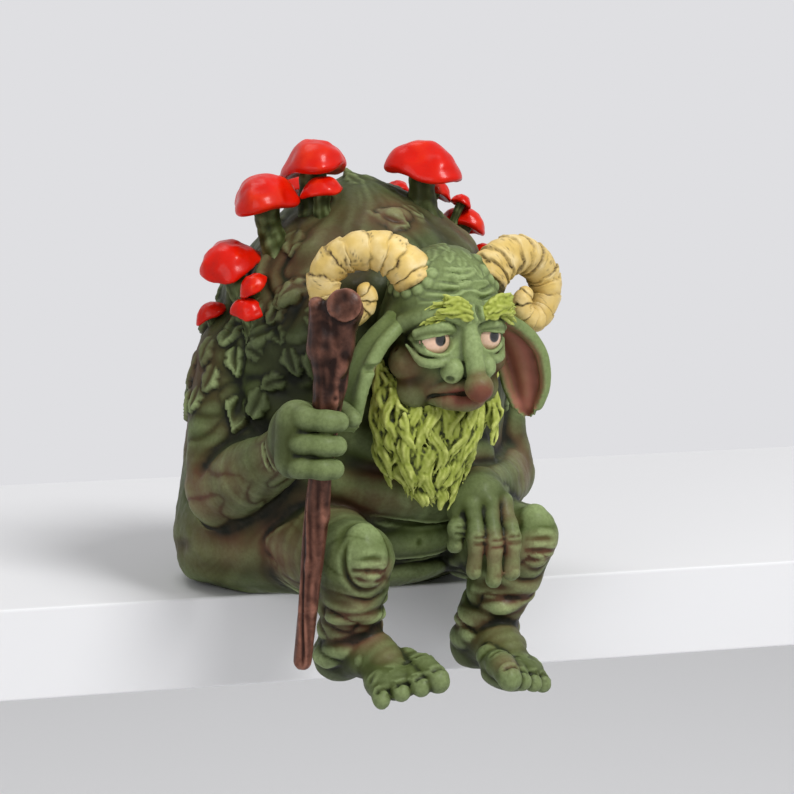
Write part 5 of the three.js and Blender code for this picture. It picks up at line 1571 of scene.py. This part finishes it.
class TROLL_OT_eyes(bpy.types.Operator):
    """Make the varnished eyes"""
    bl_idname = "troll.eyes"
    bl_label = "Eyes"
    bl_options = {"REGISTER", "UNDO"}

    def execute(self, context):
        make_eyes(eye_paint(context.scene.troll_paints))
        return {"FINISHED"}


class TROLL_OT_ears(bpy.types.Operator):
    """Sculpt and paint the ears"""
    bl_idname = "troll.ears"
    bl_label = "Ears"
    bl_options = {"REGISTER", "UNDO"}

    def execute(self, context):
        make_ears(in_mm(context.scene.troll_sizes), skin_paint(context.scene.troll_paints))
        return {"FINISHED"}


class TROLL_OT_hair(bpy.types.Operator):
    """Sculpt and paint the brows and the beard"""
    bl_idname = "troll.hair"
    bl_label = "Brows and beard"
    bl_options = {"REGISTER", "UNDO"}

    def execute(self, context):
        sizes = in_mm(context.scene.troll_sizes)
        material = beard_paint(context.scene.troll_paints)
        make_brows(sizes, material)
        make_beard(sizes, material)
        return {"FINISHED"}


class TROLL_OT_horns(bpy.types.Operator):
    """Sculpt and paint the horns"""
    bl_idname = "troll.horns"
    bl_label = "Horns"
    bl_options = {"REGISTER", "UNDO"}

    def execute(self, context):
        make_horns(in_mm(context.scene.troll_sizes), horn_paint(context.scene.troll_paints))
        return {"FINISHED"}


class TROLL_OT_staff(bpy.types.Operator):
    """Sculpt and paint the staff"""
    bl_idname = "troll.staff"
    bl_label = "Staff"
    bl_options = {"REGISTER", "UNDO"}

    def execute(self, context):
        make_staff(in_mm(context.scene.troll_sizes), staff_paint(context.scene.troll_paints))
        return {"FINISHED"}


class TROLL_OT_mushrooms(bpy.types.Operator):
    """Make the toadstools on the hump"""
    bl_idname = "troll.mushrooms"
    bl_label = "Toadstools"
    bl_options = {"REGISTER", "UNDO"}

    def execute(self, context):
        paints = context.scene.troll_paints
        make_mushrooms(in_mm(context.scene.troll_sizes), cap_paint(paints), skin_paint(paints))
        return {"FINISHED"}


class TROLL_OT_stage(bpy.types.Operator):
    """Set the floor with its step, the lamps and the camera"""
    bl_idname = "troll.stage"
    bl_label = "Stage"
    bl_options = {"REGISTER", "UNDO"}

    def execute(self, context):
        make_stage(context.scene.troll_paints)
        return {"FINISHED"}


STEPS = (TROLL_OT_body, TROLL_OT_head, TROLL_OT_eyes, TROLL_OT_ears, TROLL_OT_hair, TROLL_OT_horns,
         TROLL_OT_staff, TROLL_OT_mushrooms, TROLL_OT_stage)


class TROLL_PT_panel(bpy.types.Panel):
    """Sizes, paints and steps in the sidebar"""
    bl_label = "Troll"
    bl_idname = "TROLL_PT_panel"
    bl_space_type = "VIEW_3D"
    bl_region_type = "UI"
    bl_category = "Troll"

    def draw(self, context):
        for group in (context.scene.troll_sizes, context.scene.troll_paints):
            box = self.layout.box()
            for key in group.__annotations__:
                box.prop(group, key)
        for step in STEPS:
            self.layout.operator(step.bl_idname)


CLASSES = (TrollSizes, TrollPaints, *STEPS, TROLL_PT_panel)


def register():
    for cls in CLASSES:
        bpy.utils.register_class(cls)
    bpy.types.Scene.troll_sizes = bpy.props.PointerProperty(type=TrollSizes)
    bpy.types.Scene.troll_paints = bpy.props.PointerProperty(type=TrollPaints)


def unregister():
    del bpy.types.Scene.troll_paints
    del bpy.types.Scene.troll_sizes
    for cls in reversed(CLASSES):
        bpy.utils.unregister_class(cls)


def main():
    register()
    for step in STEPS:
        group, name = step.bl_idname.split(".")
        if getattr(getattr(bpy.ops, group), name)() != {"FINISHED"}:
            raise RuntimeError(step.bl_label + " did not finish")


if __name__ == "__main__":
    main()
